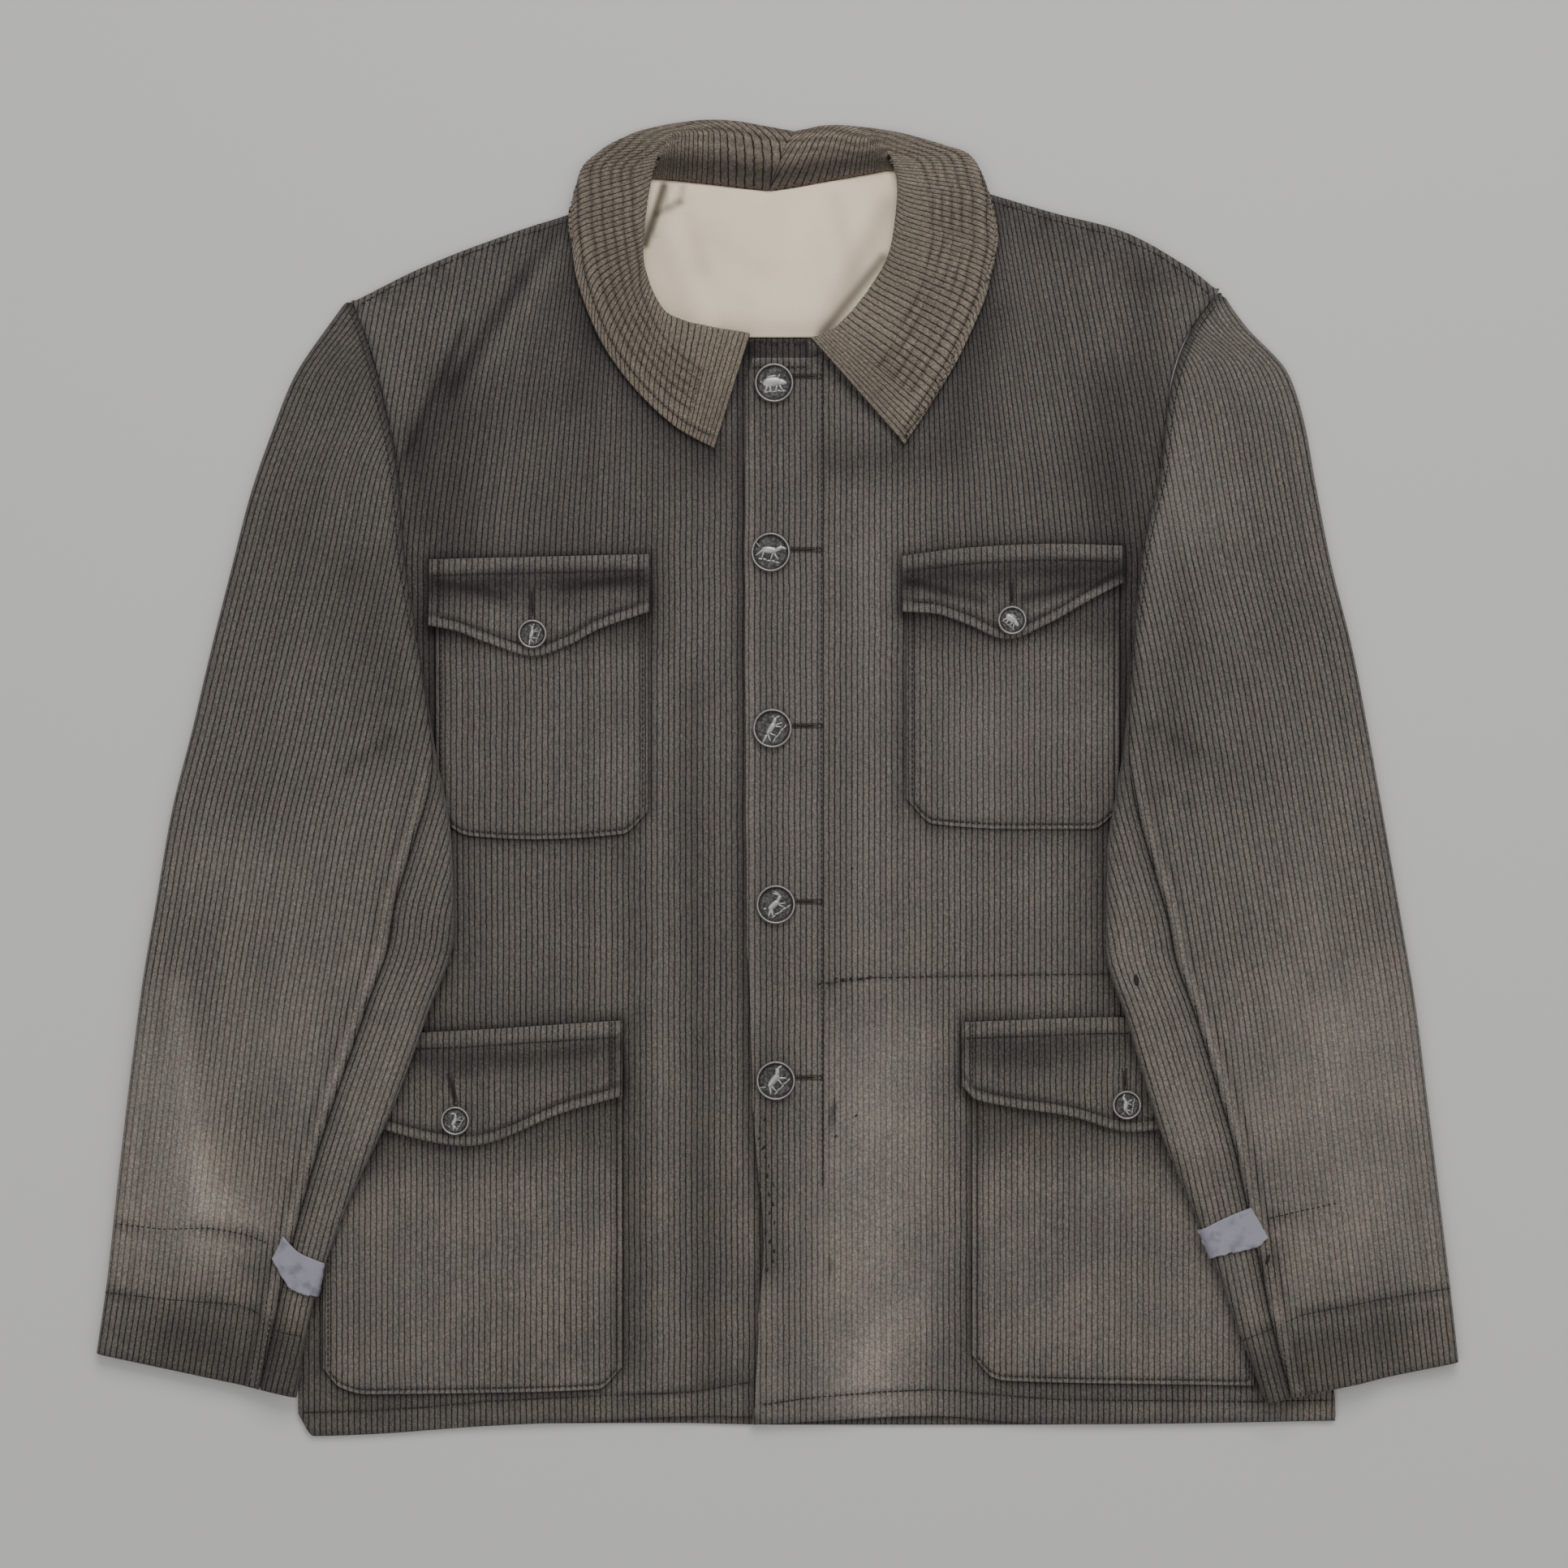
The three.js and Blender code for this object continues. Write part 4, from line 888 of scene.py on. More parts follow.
def wall(name: str, node: str, cloth: Cloth, columns: Array, rows: Array, face: Face,
         flip: bool = False) -> bpy.types.Object:
    """A wall of cloth on a grid of columns and rows, in place of a node of the frame.

    Args:
        name: of the piece.
        node: that it stands for.
        cloth: that it is cut from.
        columns, rows: values of the two grid directions.
        face: gives the outer face's points in millimetres, and each one's place across the cords, along
            them, and its tone.
        flip: turns the faces over.

    Returns:
        The object.
    """
    bm = bmesh.new()
    bmesh.ops.create_grid(bm, x_segments=len(columns) - 1, y_segments=len(rows) - 1, size=1)
    i = np.array([round((v.co.x + 1) / 2 * (len(columns) - 1)) for v in bm.verts])
    j = np.array([round((v.co.y + 1) / 2 * (len(rows) - 1)) for v in bm.verts])
    u, v = np.asarray(columns, float)[i], np.asarray(rows, float)[j]
    points, marks = face(u, v)
    layer = bm.verts.layers.float_vector.new("weave")
    for vert, point, mark in zip(bm.verts, (points * MM).tolist(), marks.tolist()):
        vert.co = point
        vert[layer] = mark
    bmesh.ops.remove_doubles(bm, verts=bm.verts, dist=0.00004)
    bmesh.ops.dissolve_degenerate(bm, edges=bm.edges, dist=0.00002)
    if flip:
        bmesh.ops.reverse_faces(bm, faces=bm.faces)
    obj = dress(from_bmesh(name, bm), cloth.material, cloth.slot)
    solid = obj.modifiers.new("cloth", "SOLIDIFY")
    solid.thickness = cloth.thick * MM
    solid.offset = -1
    solid.use_even_offset = False
    solid.use_rim = True
    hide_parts(node)
    return obj


def ways(points: Array) -> Array:
    """The way along a line to each of its points."""
    return np.concatenate([[0], np.cumsum(np.linalg.norm(np.diff(points, axis=0), axis=1))])


class Stitches:
    """Sewing stitches gathered for one piece and laid out as one joined mesh."""

    def __init__(self, length: float = 2.8, space: float = 0.4, thick: float = 0.85) -> None:
        """Takes the length of a stitch, the space to the next, and the thread's thickness."""
        self.length, self.space, self.thick = length, space, thick
        self.frames: list[Array] = []

    def line(self, points: Array, length: float | None = None, space: float | None = None,
             sink: float = 0.12) -> None:
        """Lays stitches along a line.

        Args:
            points: close points of the line on the cloth.
            length, space: of these stitches, where they differ.
            sink: how deep the thread's middle lies below the surface, negative for above.
        """
        length, space = length or self.length, space or self.space
        cuts = ways(points)
        for start in np.arange(space, cuts[-1] - length, length + space):
            a, b = (np.array([np.interp(at, cuts, points[:, k]) for k in range(3)]) - UP * sink
                    for at in (start, start + length))
            self.one(a, b)

    def one(self, start: Array, end: Array, thick: float | None = None) -> None:
        """Adds one stitch between two points."""
        ahead = end - start
        size = max(np.linalg.norm(ahead), 1e-6)
        ahead = ahead / size
        side = np.cross(UP, ahead)
        side = side / max(np.linalg.norm(side), 1e-6)
        over = np.cross(ahead, side)
        half = (thick or self.thick) / 2
        axes = np.stack([ahead * size / 2, side * half, over * half])
        self.frames.append(np.vstack([axes, (start + end) / 2]))

    def make(self, name: str, material: bpy.types.Material,
             slot: str = "cord_cloth") -> bpy.types.Object | None:
        """Joins the stitches into one object."""
        if not self.frames:
            return None
        bm = bmesh.new()
        bmesh.ops.create_icosphere(bm, subdivisions=1, radius=1)
        bm.verts.ensure_lookup_table()
        ball = np.array([v.co for v in bm.verts])
        faces = np.array([[v.index for v in face.verts] for face in bm.faces])
        bm.free()
        frames = np.array(self.frames)
        points = np.einsum("vk,nkd->nvd", ball, frames[:, :3]) + frames[:, 3][:, None]
        index = faces[None] + (np.arange(len(frames)) * len(ball))[:, None, None]
        mesh = bpy.data.meshes.new(name)
        mesh.from_pydata((points.reshape(-1, 3) * MM).tolist(), [], index.reshape(-1, 3).tolist())
        return dress(linked(name, mesh), material, slot)


def polyline(points: Sequence[tuple[float, float]], pitch: float = 1.5) -> Array:
    """Close points along straight runs between some corners, in the plane."""
    corners = np.array(points, float)
    cuts = ways(corners)
    at = np.linspace(0, cuts[-1], max(2, int(cuts[-1] / pitch)))
    return np.stack([np.interp(at, cuts, corners[:, 0]), np.interp(at, cuts, corners[:, 1])], -1)


def on_surface(line: Array, surface: Surface) -> Array:
    """Lifts a line in the plane onto a surface."""
    return np.column_stack([line, surface(line[:, 0], line[:, 1])])


def sewn(lines: Sequence[Array], x: Array, y: Array) -> tuple[Array, Array]:
    """How a seam draws the cloth in: how deep it sinks, and how much darker it is, in stops."""
    away = from_lines(lines, x, y)
    pucker = 1 + 0.35 * drift(x, y, 5.0, 11)
    return -0.5 * bell(away, 1.2) * pucker, -0.55 * bell(away, 1.3)


# Lines of the seams and stitches on the fronts, and the collar's edges, beside which a shadow is painted on
# them
NECK_SEAM = Curve([
    (-90, 345), (-84, 349), (-74, 351.3), (-62, 350.4), (-42, 348.3), (-5, 344.4), (32, 350.3), (55, 354.3),
    (66, 356), (76, 355), (84, 350)])
FACING = [(26.1, 244), (25.6, 28), (26.1, -162), (26.4, -240)]
HEM_STITCH_RIGHT = [(-278, -372), (-241, -371), (-208, -368.8), (-170, -365), (-46.5, -359.3), (-15, -354)]
HEM_STITCH_LEFT = [(-9, -367), (20, -362.7), (58, -359.8), (91, -358.4), (115, -360.3), (162, -364),
                   (276, -365.5), (326, -365)]
SHOULDER_STITCH_RIGHT = [(-104, 332), (-120, 327), (-151, 317.5), (-179, 308), (-208, 295), (-227, 287),
                         (-244, 277.6)]
SHOULDER_STITCH_LEFT = [(112, 340), (125, 338), (162, 326.6), (200, 317), (224, 306), (241, 294), (253, 283)]
WAIST_LINE = [(22, -121), (56, -117), (196, -114.7)]
NECK_STITCH = [(-15, 240.6), (18, 240.6)]
COLLAR_EDGES = [np.array([(row.ex, row.ey) for row in rows if row.turn < 0.5])
                for rows in (COLLAR_RIGHT, COLLAR_LEFT)]


class Fronts:
    """The two fronts, the back and the lining inside the neck."""

    def __init__(self, finishes: Finishes) -> None:
        """Takes the materials."""
        self.finishes = finishes
        self.lines_right = [np.array(HEM_STITCH_RIGHT), np.array(SHOULDER_STITCH_RIGHT)]
        self.lines_left = [np.array(line) for line in (
            FACING, HEM_STITCH_LEFT, SHOULDER_STITCH_LEFT, WAIST_LINE, NECK_STITCH)]

    def tone(self, x: Array, y: Array, lines: Sequence[Array]) -> Array:
        """Brightness of the cloth at each place: dye and wear with painted shade and highlights, and painted
        shadows beside the pockets, flaps, collar and open edge.
        """
        stops = streaks(BODY_SHADING_AND_WEAR, x, y) + sewn(lines, x, y)[1] + 0.12 * drift(x, y, 60, 5)
        for piece in list(POCKETS.values()) + list(FLAPS.values()):
            stops = stops + self.rim_shade(piece, x, y)
        # Painted shadow of the collar's edge on the fronts.
        away = from_lines(COLLAR_EDGES, x, y)
        stops = stops - 0.7 * bell(away, 4) - 0.3 * bell(away, 11)
        # On the right front: painted shade at the under front's top, and a painted shadow beside the left
        # front's open edge.
        if lines is self.lines_right:
            stops = stops + streaks(RIGHT_SHADING_AND_WEAR, x, y) - 1.2 * bell(PLACKET(y) - x - 1, 5)
        return 2.0 ** stops

    @staticmethod
    def rim_shade(piece: Laid, x: Array, y: Array) -> Array:
        """Painted shadow in a strip just outside a pocket or flap, in stops."""
        low, high = piece.lower(x), piece.upper(x)
        dx = np.maximum(np.maximum(piece.x0 - x, x - piece.x1), 0)
        dy = np.maximum(np.maximum(low - y, y - high), 0)
        away = np.hypot(dx, dy)
        return -1.0 * bell(away, 2.4) - 0.35 * bell(away, 9)

    @staticmethod
    def armhole(y: Array) -> Array:
        """How much further the cloth runs into the armhole seam."""
        return 3.2 * step(160, 200, y)

    def panel(self, node: str, columns: Array, rows: Array, under: Surface, lower: Surface, upper: Surface,
              left: Surface, right: Surface, lines: Sequence[Array]) -> bpy.types.Object:
        """A front on columns that run up the cloth at real places, cut by the garment's edges."""
        def face(u: Array, v: Array) -> tuple[Array, Array]:
            """Points of the outer face, held inside the cut, with their place in the weave and tone."""
            start, y = u * PITCH, v
            for _ in range(5):
                x = start + lean(start, y)
                y = np.clip(v, lower(x), upper(x))
            x = np.clip(x, left(y), right(y))
            edge = np.minimum(y - lower(x), upper(x) - y)
            armhole = np.minimum(x - left(y), right(y) - x) + 40 * (1 - step(150, 190, y))
            rounded = rolled(edge) - 2.6 * fade(armhole, 1.8)
            cord = cord_at(x, y)
            z = under(x, y) + PANEL + cord_relief(cord) + sewn(lines, x, y)[0] + rounded
            z = np.maximum(z, PANEL + 0.1)
            if lines is self.lines_left:
                z = z + 0.9 * bell(y - NECK_FOLD, 1.8) * step(-18, -13, x) * (1 - step(16, 23, x))
            points = np.stack([x + 0.28 * drift(x / 3, y, 22, 7), y, z], -1)
            return points, np.stack([cord, y * MM, self.tone(x, y, lines)], -1)

        return wall(f"cloth_{node}", node, self.finishes.panel, columns, rows, face)

    def build(self) -> None:
        """Makes both fronts, the back and the lining."""
        rows = refined(-388, 357, 7.2, (-371, -365, -359, -353, -146, -117, -35.5, 129, 135, 240, 247, 257))
        right = self.panel(
            "front_right", cord_columns(RIGHT_END / PITCH, OVERLAP / PITCH, [(-85, -76), (-4, 6)]), rows,
            BODY_FORM.right_under, HEM_RIGHT, lambda x: np.where(x < -92, SHOULDER(x), NECK_RIGHT(x)),
            lambda y: SIDE_RIGHT(y) - self.armhole(y), lambda y: np.full_like(y, OVERLAP), self.lines_right)
        left = self.panel(
            "front_left", cord_columns(-20 / PITCH, LEFT_END / PITCH, [(76, 99)]), rows,
            BODY_FORM.left_under, HEM_LEFT, lambda x: np.where(x > 93, SHOULDER(x), NECK_LEFT(x)),
            PLACKET, lambda y: SIDE_LEFT(y) + self.armhole(y), self.lines_left)
        for obj, node, size, area in ((right, "front_right", (0.30, 0.74), 0.170),
                                      (left, "front_left", (0.35, 0.74), 0.205)):
            threads = self.sew(node)
        self.back()
        self.lining()

    def sew(self, node: str) -> list[bpy.types.Object]:
        """The stitching of one front."""
        grey, dark = Stitches(), Stitches(thick=0.75)
        under, lines = {
            "front_right": (BODY_FORM.right_under, (HEM_STITCH_RIGHT, SHOULDER_STITCH_RIGHT)),
            "front_left": (BODY_FORM.left_under, (HEM_STITCH_LEFT, SHOULDER_STITCH_LEFT, NECK_STITCH)),
        }[node]

        def top(x: Array, y: Array) -> Array:
            """Bed of the stitches."""
            return under(x, y) + PANEL - BED

        for line in lines:
            grey.line(on_surface(polyline(line), top))
        if node == "front_left":
            grey.line(on_surface(polyline(FACING), lambda x, y: top(x, y) - 0.2))
            open_edge = [(PLACKET(np.array(y)).item() + 5.5, y) for y in range(-352, 240, 12)]
            grey.line(on_surface(polyline(open_edge), lambda x, y: top(x, y) - 0.2))
            self.scuffs(dark, top)
            dark.line(on_surface(polyline(WAIST_LINE), top), length=3.2, space=1.4)
            for x, y, size in ((34, -117.6, 2.5), (38, -118.2, 3.2), (43, -117.2, 2.2), (49, -117.6, 3.0),
                               (54, -116.8, 2.6), (34, -209.7, 1.4), (46, -197.8, 1.8), (43.7, -53, 1.2)):
                z = float(top(np.array(x), np.array(y))) + 0.3
                dark.one(np.array([x - size / 2, y - 0.6, z]), np.array([x + size / 2, y + 0.6, z]), 1.3)
        made = [grey.make(f"stitches_{node}", self.finishes.thread),
                dark.make(f"mend_{node}", self.finishes.dark)]
        return [obj for obj in made if obj]

    def scuffs(self, dark: Stitches, top: Surface) -> None:
        """Worn spots along the open edge, and the frayed top of the front beneath."""
        rng = np.random.default_rng(5)
        for y in np.arange(-200, -292, -5.5):
            x = PLACKET(y) + rng.uniform(2.5, 7.5)
            reach = rng.uniform(-1.6, 1.6, 2)
            z = float(top(x, y)) + 0.05
            dark.one(np.array([x - reach[0], y - 1.5, z]), np.array([x + reach[1], y + 1.8, z]),
                     rng.uniform(0.9, 1.7))
        for x in np.arange(-13, 17, 0.9):
            y = rng.uniform(252.5, 256)
            z = float(BODY_FORM.right_under(x, y)) + PANEL + 0.1
            tip = np.array([x + rng.uniform(-1.5, 1.5), y + rng.uniform(1, 3), z])
            dark.one(np.array([x, y, z]), tip, 0.5)

    def back(self) -> None:
        """The back panel, which shows under the fronts' hems only and rests flat."""
        def face(u: Array, v: Array) -> tuple[Array, Array]:
            """Points of the upper face, held inside the cut, with their place in the weave and tone."""
            x = u * PITCH
            y = np.clip(v, HEM_BACK(x), SHOULDER(x))
            x = np.clip(x, SIDE_RIGHT(y), SIDE_LEFT(y))
            # The back is painted 0.45 stops darker as the shade under the fronts' hems.
            tone = 2.0 ** (-0.45 + 0.15 * drift(x, y, 60, 6))
            return np.stack([x, y, np.full_like(x, BACK)], -1), np.stack([x / PITCH, y * MM, tone], -1)

        columns = np.arange(RIGHT_END, LEFT_END + 1, 4.0) / PITCH
        obj = wall("cloth_back", "back", self.finishes.back, columns, refined(-387, 357, 9), face)

    def lining(self) -> None:
        """The lining inside the neck, with its soft folds and the caught loop on one side."""
        def face(u: Array, v: Array) -> tuple[Array, Array]:
            """Points of the upper face between neck and collar seam, with their place and tone."""
            low = np.maximum(NECK_RIGHT(u), NECK_LEFT(u)) + GAP + 1
            x, y = u, lerp(low, NECK_SEAM(u) - 0.1, v)
            inside = step(0, 0.12, v) * (1 - step(0.9, 1, v)) * step(-84, -76, x) * (1 - step(70, 78, x))
            raised = np.maximum(streaks(LINING_FOLDS, x, y) + 0.5 * drift(x, y, 24, 9), 0) * inside
            tone = 2.0 ** (streaks(LINING_SHADING, x, y) + 0.05 * drift(x, y, 18, 2))
            return np.stack([x, y, BOTTOM + LINING + raised], -1), np.stack([x * MM, y * MM, tone], -1)

        columns = np.concatenate([np.linspace(-85.5, -63, 38), np.linspace(-62, 81, 96)])
        obj = wall("cloth_lining", "lining", self.finishes.lining, columns, np.linspace(0, 1, 74), face)


class LaidPieces:
    """The four patch pockets and their flaps."""

    def __init__(self, finishes: Finishes) -> None:
        """Takes the materials."""
        self.finishes = finishes

    @staticmethod
    def seam(piece: Laid, side: float, low: float, top: float | None = None) -> list[Array]:
        """Stitch lines inside a laid piece's edges.

        Args:
            piece: the pocket or flap.
            side: distance from the side edges.
            low: distance from the lower edge.
            top: distance of a line along the upper edge, or None.

        Returns:
            The lines.
        """
        xs = np.linspace(piece.x0 + side, piece.x1 - side, 60)
        bottom = np.column_stack([xs, piece.lower(xs) + low])
        ends = [np.array([[x, piece.upper(np.array(x)) - 0.5], [x, piece.lower(np.array(x)) + low]])
                for x in (xs[0], xs[-1])]
        lines = [bottom, *[polyline(end, 3) for end in ends]]
        if top is not None:
            across = np.linspace(piece.x0 + 1.5, piece.x1 - 1.5, 40)
            lines.append(np.column_stack([across, piece.upper(across) - top]))
        return lines

    def one(self, name: str, piece: Laid, height: Surface, lines: Sequence[Array],
            tones: Callable[[Array, Array, Array], Array], rows: Array) -> None:
        """Makes one pocket or flap on the front's form."""
        shift = {"flap": 0.35, "pocket": 0.1}[name.split("_")[0]]

        def top(x: Array, y: Array) -> Array:
            """Top of the piece, without its cords."""
            return BODY_FORM.seat(x, y) + GAP + height(x, y) + PANEL

        def face(u: Array, v: Array) -> tuple[Array, Array]:
            """Points of the outer face, with their place in the weave and tone."""
            x = np.clip(u * PITCH, piece.x0, piece.x1)
            y = lerp(piece.lower(x), piece.upper(x), v)
            edge = np.minimum(np.minimum(x - piece.x0, piece.x1 - x), y - piece.lower(x))
            sink, shade = sewn(lines, x, y)
            z = top(x, y) + cord_relief(x / PITCH + shift) + sink + rolled(edge)
            wave = 0.25 * drift(x / 3, y, 18, 13) * step(0, 4, edge)
            stops = tones(x, y, v) + shade + 0.12 * drift(x, y, 40, 17)
            return np.stack([x + wave, y, z], -1), np.stack([x / PITCH + shift, y * MM, 2.0 ** stops], -1)

        columns = cord_columns(piece.x0 / PITCH, piece.x1 / PITCH)
        obj = wall(f"cloth_{name}", name, self.finishes.panel, columns, rows, face)
        stitches = Stitches()
        for line in lines:
            stitches.line(on_surface(polyline(line), lambda x, y: top(x, y) - 0.12))
        threads = stitches.make(f"stitches_{name}", self.finishes.thread)
        xs = np.linspace(piece.x0, piece.x1, 80)
        deep = piece.upper(xs) - piece.lower(xs)

    def build(self) -> None:
        """Makes all four pockets and flaps."""
        for name, piece in POCKETS.items():
            hip = "hip" in name
            worn = (0.15 if hip else 0.0) + (0.12 if "left" in name else 0.03)

            def tones(x: Array, y: Array, v: Array, piece: Laid = piece, worn: float = worn) -> Array:
                """Painted shadow under the flap, darker towards the sides, a lighter raised rim, a painted
                highlight in the middle, and paler where worn.
                """
                side = np.minimum(x - piece.x0, piece.x1 - x)
                low = y - piece.lower(x)
                rim = 0.3 * bell(np.minimum(side, low) - 1.0, 1.4)
                middle = 0.12 * bell(v - 0.35, 0.22)
                under = 0.85 * step(0.62 if worn > 0.15 else 0.68, 0.84, v)
                return worn + rim + middle - under - 0.2 * np.exp(-side / 9)

            rows = np.unique(np.concatenate([np.linspace(0, 1, 40), [0.003, 0.009, 0.016, 0.022, 0.03]]))
            self.one(name, piece, lambda x, y: np.zeros_like(x), self.seam(piece, 2.9, 2.9), tones, rows)
            log.info("pocket %s", name)
        for name, piece in FLAPS.items():
            depth = 1.2 if "chest" in name else 0.7
            folds = FLAP_SHADING[name]

            def flap_tones(x: Array, y: Array, v: Array, depth: float = depth, piece: Laid = piece,
                           folds: list[Streak] = folds) -> Array:
                """Painted shade in the fold over the pocket's mouth, a dark line at the lower stitch row, and
                painted highlights on the raised strip along the upper edge and the lifted lower edge.
                """
                away = y - piece.lower(x)
                drop = piece.upper(x) - y
                deep = depth * (1 + 0.5 * drift(x, y * 2.5, 24, 19))
                fold_shade = bell(drop - 15, 6) + 0.35 * bell(drop - 24, 7)
                lip = 0.3 * (1 - step(3.5, 6.2, away)) - 0.7 * bell(away - 7.4, 1.5)
                return streaks(folds, x, y) - deep * fold_shade + lip + 0.15 * (1 - step(6, 9.4, drop)) - 0.08

            rows = np.unique(np.concatenate([np.linspace(0, 1, 28), [0.02, 0.95, 0.98]]))
            self.one(name, piece, lambda x, y, piece=piece: flap_height(piece, x, y),
                     self.seam(piece, 6.0, 6.2, 9.5), flap_tones, rows)
            log.info("flap %s", name)


class Sleeve:
    """One sleeve: a flattened tube in two pieces, with its patch and stitching."""

    lip = 10.0  # widest strip of the top piece beneath the outer fold
    rows = 112  # of points along the sleeve

    def __init__(self, side: str, stations: Sequence[Station], finishes: Finishes) -> None:
        """Takes the side, the sections and the materials."""
        self.side, self.finishes = side, finishes
        self.sign = -1 if side == "right" else 1
        self.last = len(stations) - 1
        self.track = {key: Curve([(row.s, getattr(row, key)) for row in stations])
                      for key in ("ox", "oy", "ix", "iy", "tall", "seam")}
        self.folds, self.tones = SLEEVE_FOLDS[side], SLEEVE_SHADING_AND_WEAR[side]
        self.worn = SLEEVE_WORN[side]

    def floor(self, x: Array, y: Array) -> Array:
        """Height of the underside: on the table beside the body, and over all that lies on the front."""
        rim = SIDE_RIGHT(y) if self.side == "right" else SIDE_LEFT(y)
        outside = (x - rim) * self.sign
        lift = (1 - step(176, 214, y)) * (1 - step(12, 34, outside))
        layers = sum((PANEL + GAP) * cover(piece, x, y) for piece in POCKETS.values())
        layers = layers + sum((PANEL + GAP + FLAP_ROOM) * cover(piece, x, y) for piece in FLAPS.values())
        return lift * (BODY_FORM.seat(x, y) + GAP + SAFE + layers)

    def crease(self, x: Array, y: Array) -> Array:
        """How far the creases raise the sleeve's upper face."""
        return streaks(self.folds, x, y) + 0.5 * drift(x, y, 40, 21)

    def edges(self, s: Array) -> tuple[Array, ...]:
        """Outer and inner edge of a section."""
        return tuple(self.track[key](s) for key in ("ox", "oy", "ix", "iy"))

    def girth(self, s: Array) -> tuple[Array, Array, Array]:
        """Half the way round, place of the seam, and width of the strip beneath."""
        ox, oy, ix, iy = self.edges(s)
        width = np.hypot(ix - ox, iy - oy) - SLEEVE_WALL
        r = self.track["tall"](s) / 2
        half = np.pi * r + width - r * 2
        return half, half * self.track["seam"](s), np.pi * r / 2 + np.minimum(self.lip, width * 0.3)

    def middle(self, s: Array, q: Array) -> Array:
        """Point on the middle of the wall, q millimetres round from the outer fold over the top."""
        ox, oy, ix, iy = self.edges(s)
        span = np.hypot(ix - ox, iy - oy)
        width = span - SLEEVE_WALL
        r = self.track["tall"](s) / 2
        arc = np.pi * r / 2
        half = arc * 2 + width - r * 2
        turned = np.where(q > half, q - half * 2, q)
        m = np.abs(turned)
        inner = (m - half + arc) / r
        across = np.where(m < arc, r * (1 - np.cos(m / r)),
                          np.where(m > half - arc, width - r + r * np.sin(inner), r + m - arc))
        high = np.where(m < arc, r * np.sin(m / r), np.where(m > half - arc, r * np.cos(inner), r))
        share = (across + SLEEVE_WALL / 2) / span
        x, y = lerp(ox, ix, share), lerp(oy, iy, share)
        upper = np.where(turned > 0, high / r, 0)
        crease = self.crease(x, y) * upper * step(0, 3, s)
        z = self.floor(x, y) + SLEEVE_WALL / 2 + r + np.sign(turned) * high + np.maximum(crease, DEEPEST)
        return np.stack([x, y, z], -1)

    def outer(self, s: Array, q: Array, relief: Array | float) -> Array:
        """Point on the outer face, moved out along the surface's own normal."""
        before, after = (np.clip(s + nudge, 0, self.last) for nudge in (-0.02, 0.02))
        ds = self.middle(after, q) - self.middle(before, q)
        dq = self.middle(s, q + 0.3) - self.middle(s, q - 0.3)
        normal = np.cross(ds, dq) * -self.sign
        normal = normal / np.maximum(np.linalg.norm(normal, axis=-1, keepdims=True), 1e-9)
        distance = np.asarray(SLEEVE_WALL / 2 + relief)
        return self.middle(s, q) + normal * np.broadcast_to(distance, np.shape(s))[..., None]

    def tone(self, point: Array, s: Array, q: Array) -> Array:
        """Brightness of the cloth: dye and wear, a dark line at the seam, and painted shade beside it on the
        under sleeve, along both folds, at the armhole and in the old hem's crease.
        """
        half, seam, _ = self.girth(s)
        x, y = point[..., 0], point[..., 1]
        stops = streaks(self.tones, x, y) + 0.16 * drift(x, y, 50, 23) + self.worn(y)
        beside, shown = q - seam, step(*SEAM_SHOWS, s)
        stops = stops - 1.1 * bell(beside, 1.5) * shown
        stops = stops + 0.32 * step(-8.4, -6.6, beside) * (1 - step(-2.4, -0.9, beside)) * shown
        stops = stops - 0.4 * bell(beside + 9.6, 1.6) * shown
        # Painted shadow of the seam's raised strip on the under sleeve.
        stops = stops - 0.5 * fade(beside, 4.5) * step(-0.1, 0.1, beside) * shown
        # Painted shade along the inner fold, strong near the armhole.
        rim = 0.9 * bell(half - q, 5) + 0.9 * bell(half - q, 2)
        stops = stops - rim * (1 - step(6, 8, s))
        # Painted shade at the armhole end and along the outer fold.
        stops = stops - 0.45 * (1 - step(0, 0.35, s)) - 0.3 * bell(q, 3)
        stops = stops - 0.4 * step(self.last - 1.1, self.last - 0.75, s)
        stops = stops - 0.5 * bell(half - q, 6) * step(6, 8, s)
        for line in self.cross_lines():
            stops = stops - 0.7 * bell(from_lines([line], x, y), 1.6)
        return 2.0 ** stops

    def weave(self, s: Array, q: Array, start: Array | float, share: float) -> Array:
        """Place in the weave, counted from a start, and tone."""
        point = self.middle(s, q)
        return np.stack([(q - start) / PITCH, point[..., 1] * MM, self.tone(point, s, q) * share], -1)

    def cross_lines(self) -> list[Array]:
        """The cuff's stitch line and the mark of an old hem, as runs of points."""
        return [polyline(line, 4) for line in CUFF_LINES[self.side]]

    def top_height(self, x: Array, y: Array) -> Array:
        """Height of the sleeve's upper face, for what lies on it."""
        r = self.track["tall"](self.station_at(x, y)) / 2
        return self.floor(x, y) + SLEEVE_WALL + r * 2 + np.maximum(self.crease(x, y), DEEPEST)

    def station_at(self, x: Array, y: Array) -> Array:
        """The section that passes through a place, found by halving."""
        low, high = np.zeros_like(x, float), np.full_like(x, self.last, float)
        for _ in range(24):
            mid = (low + high) / 2
            ox, oy, ix, iy = self.edges(mid)
            beyond = ((ix - ox) * (y - oy) - (iy - oy) * (x - ox)) * -self.sign > 0
            low, high = np.where(beyond, low, mid), np.where(beyond, mid, high)
        return (low + high) / 2

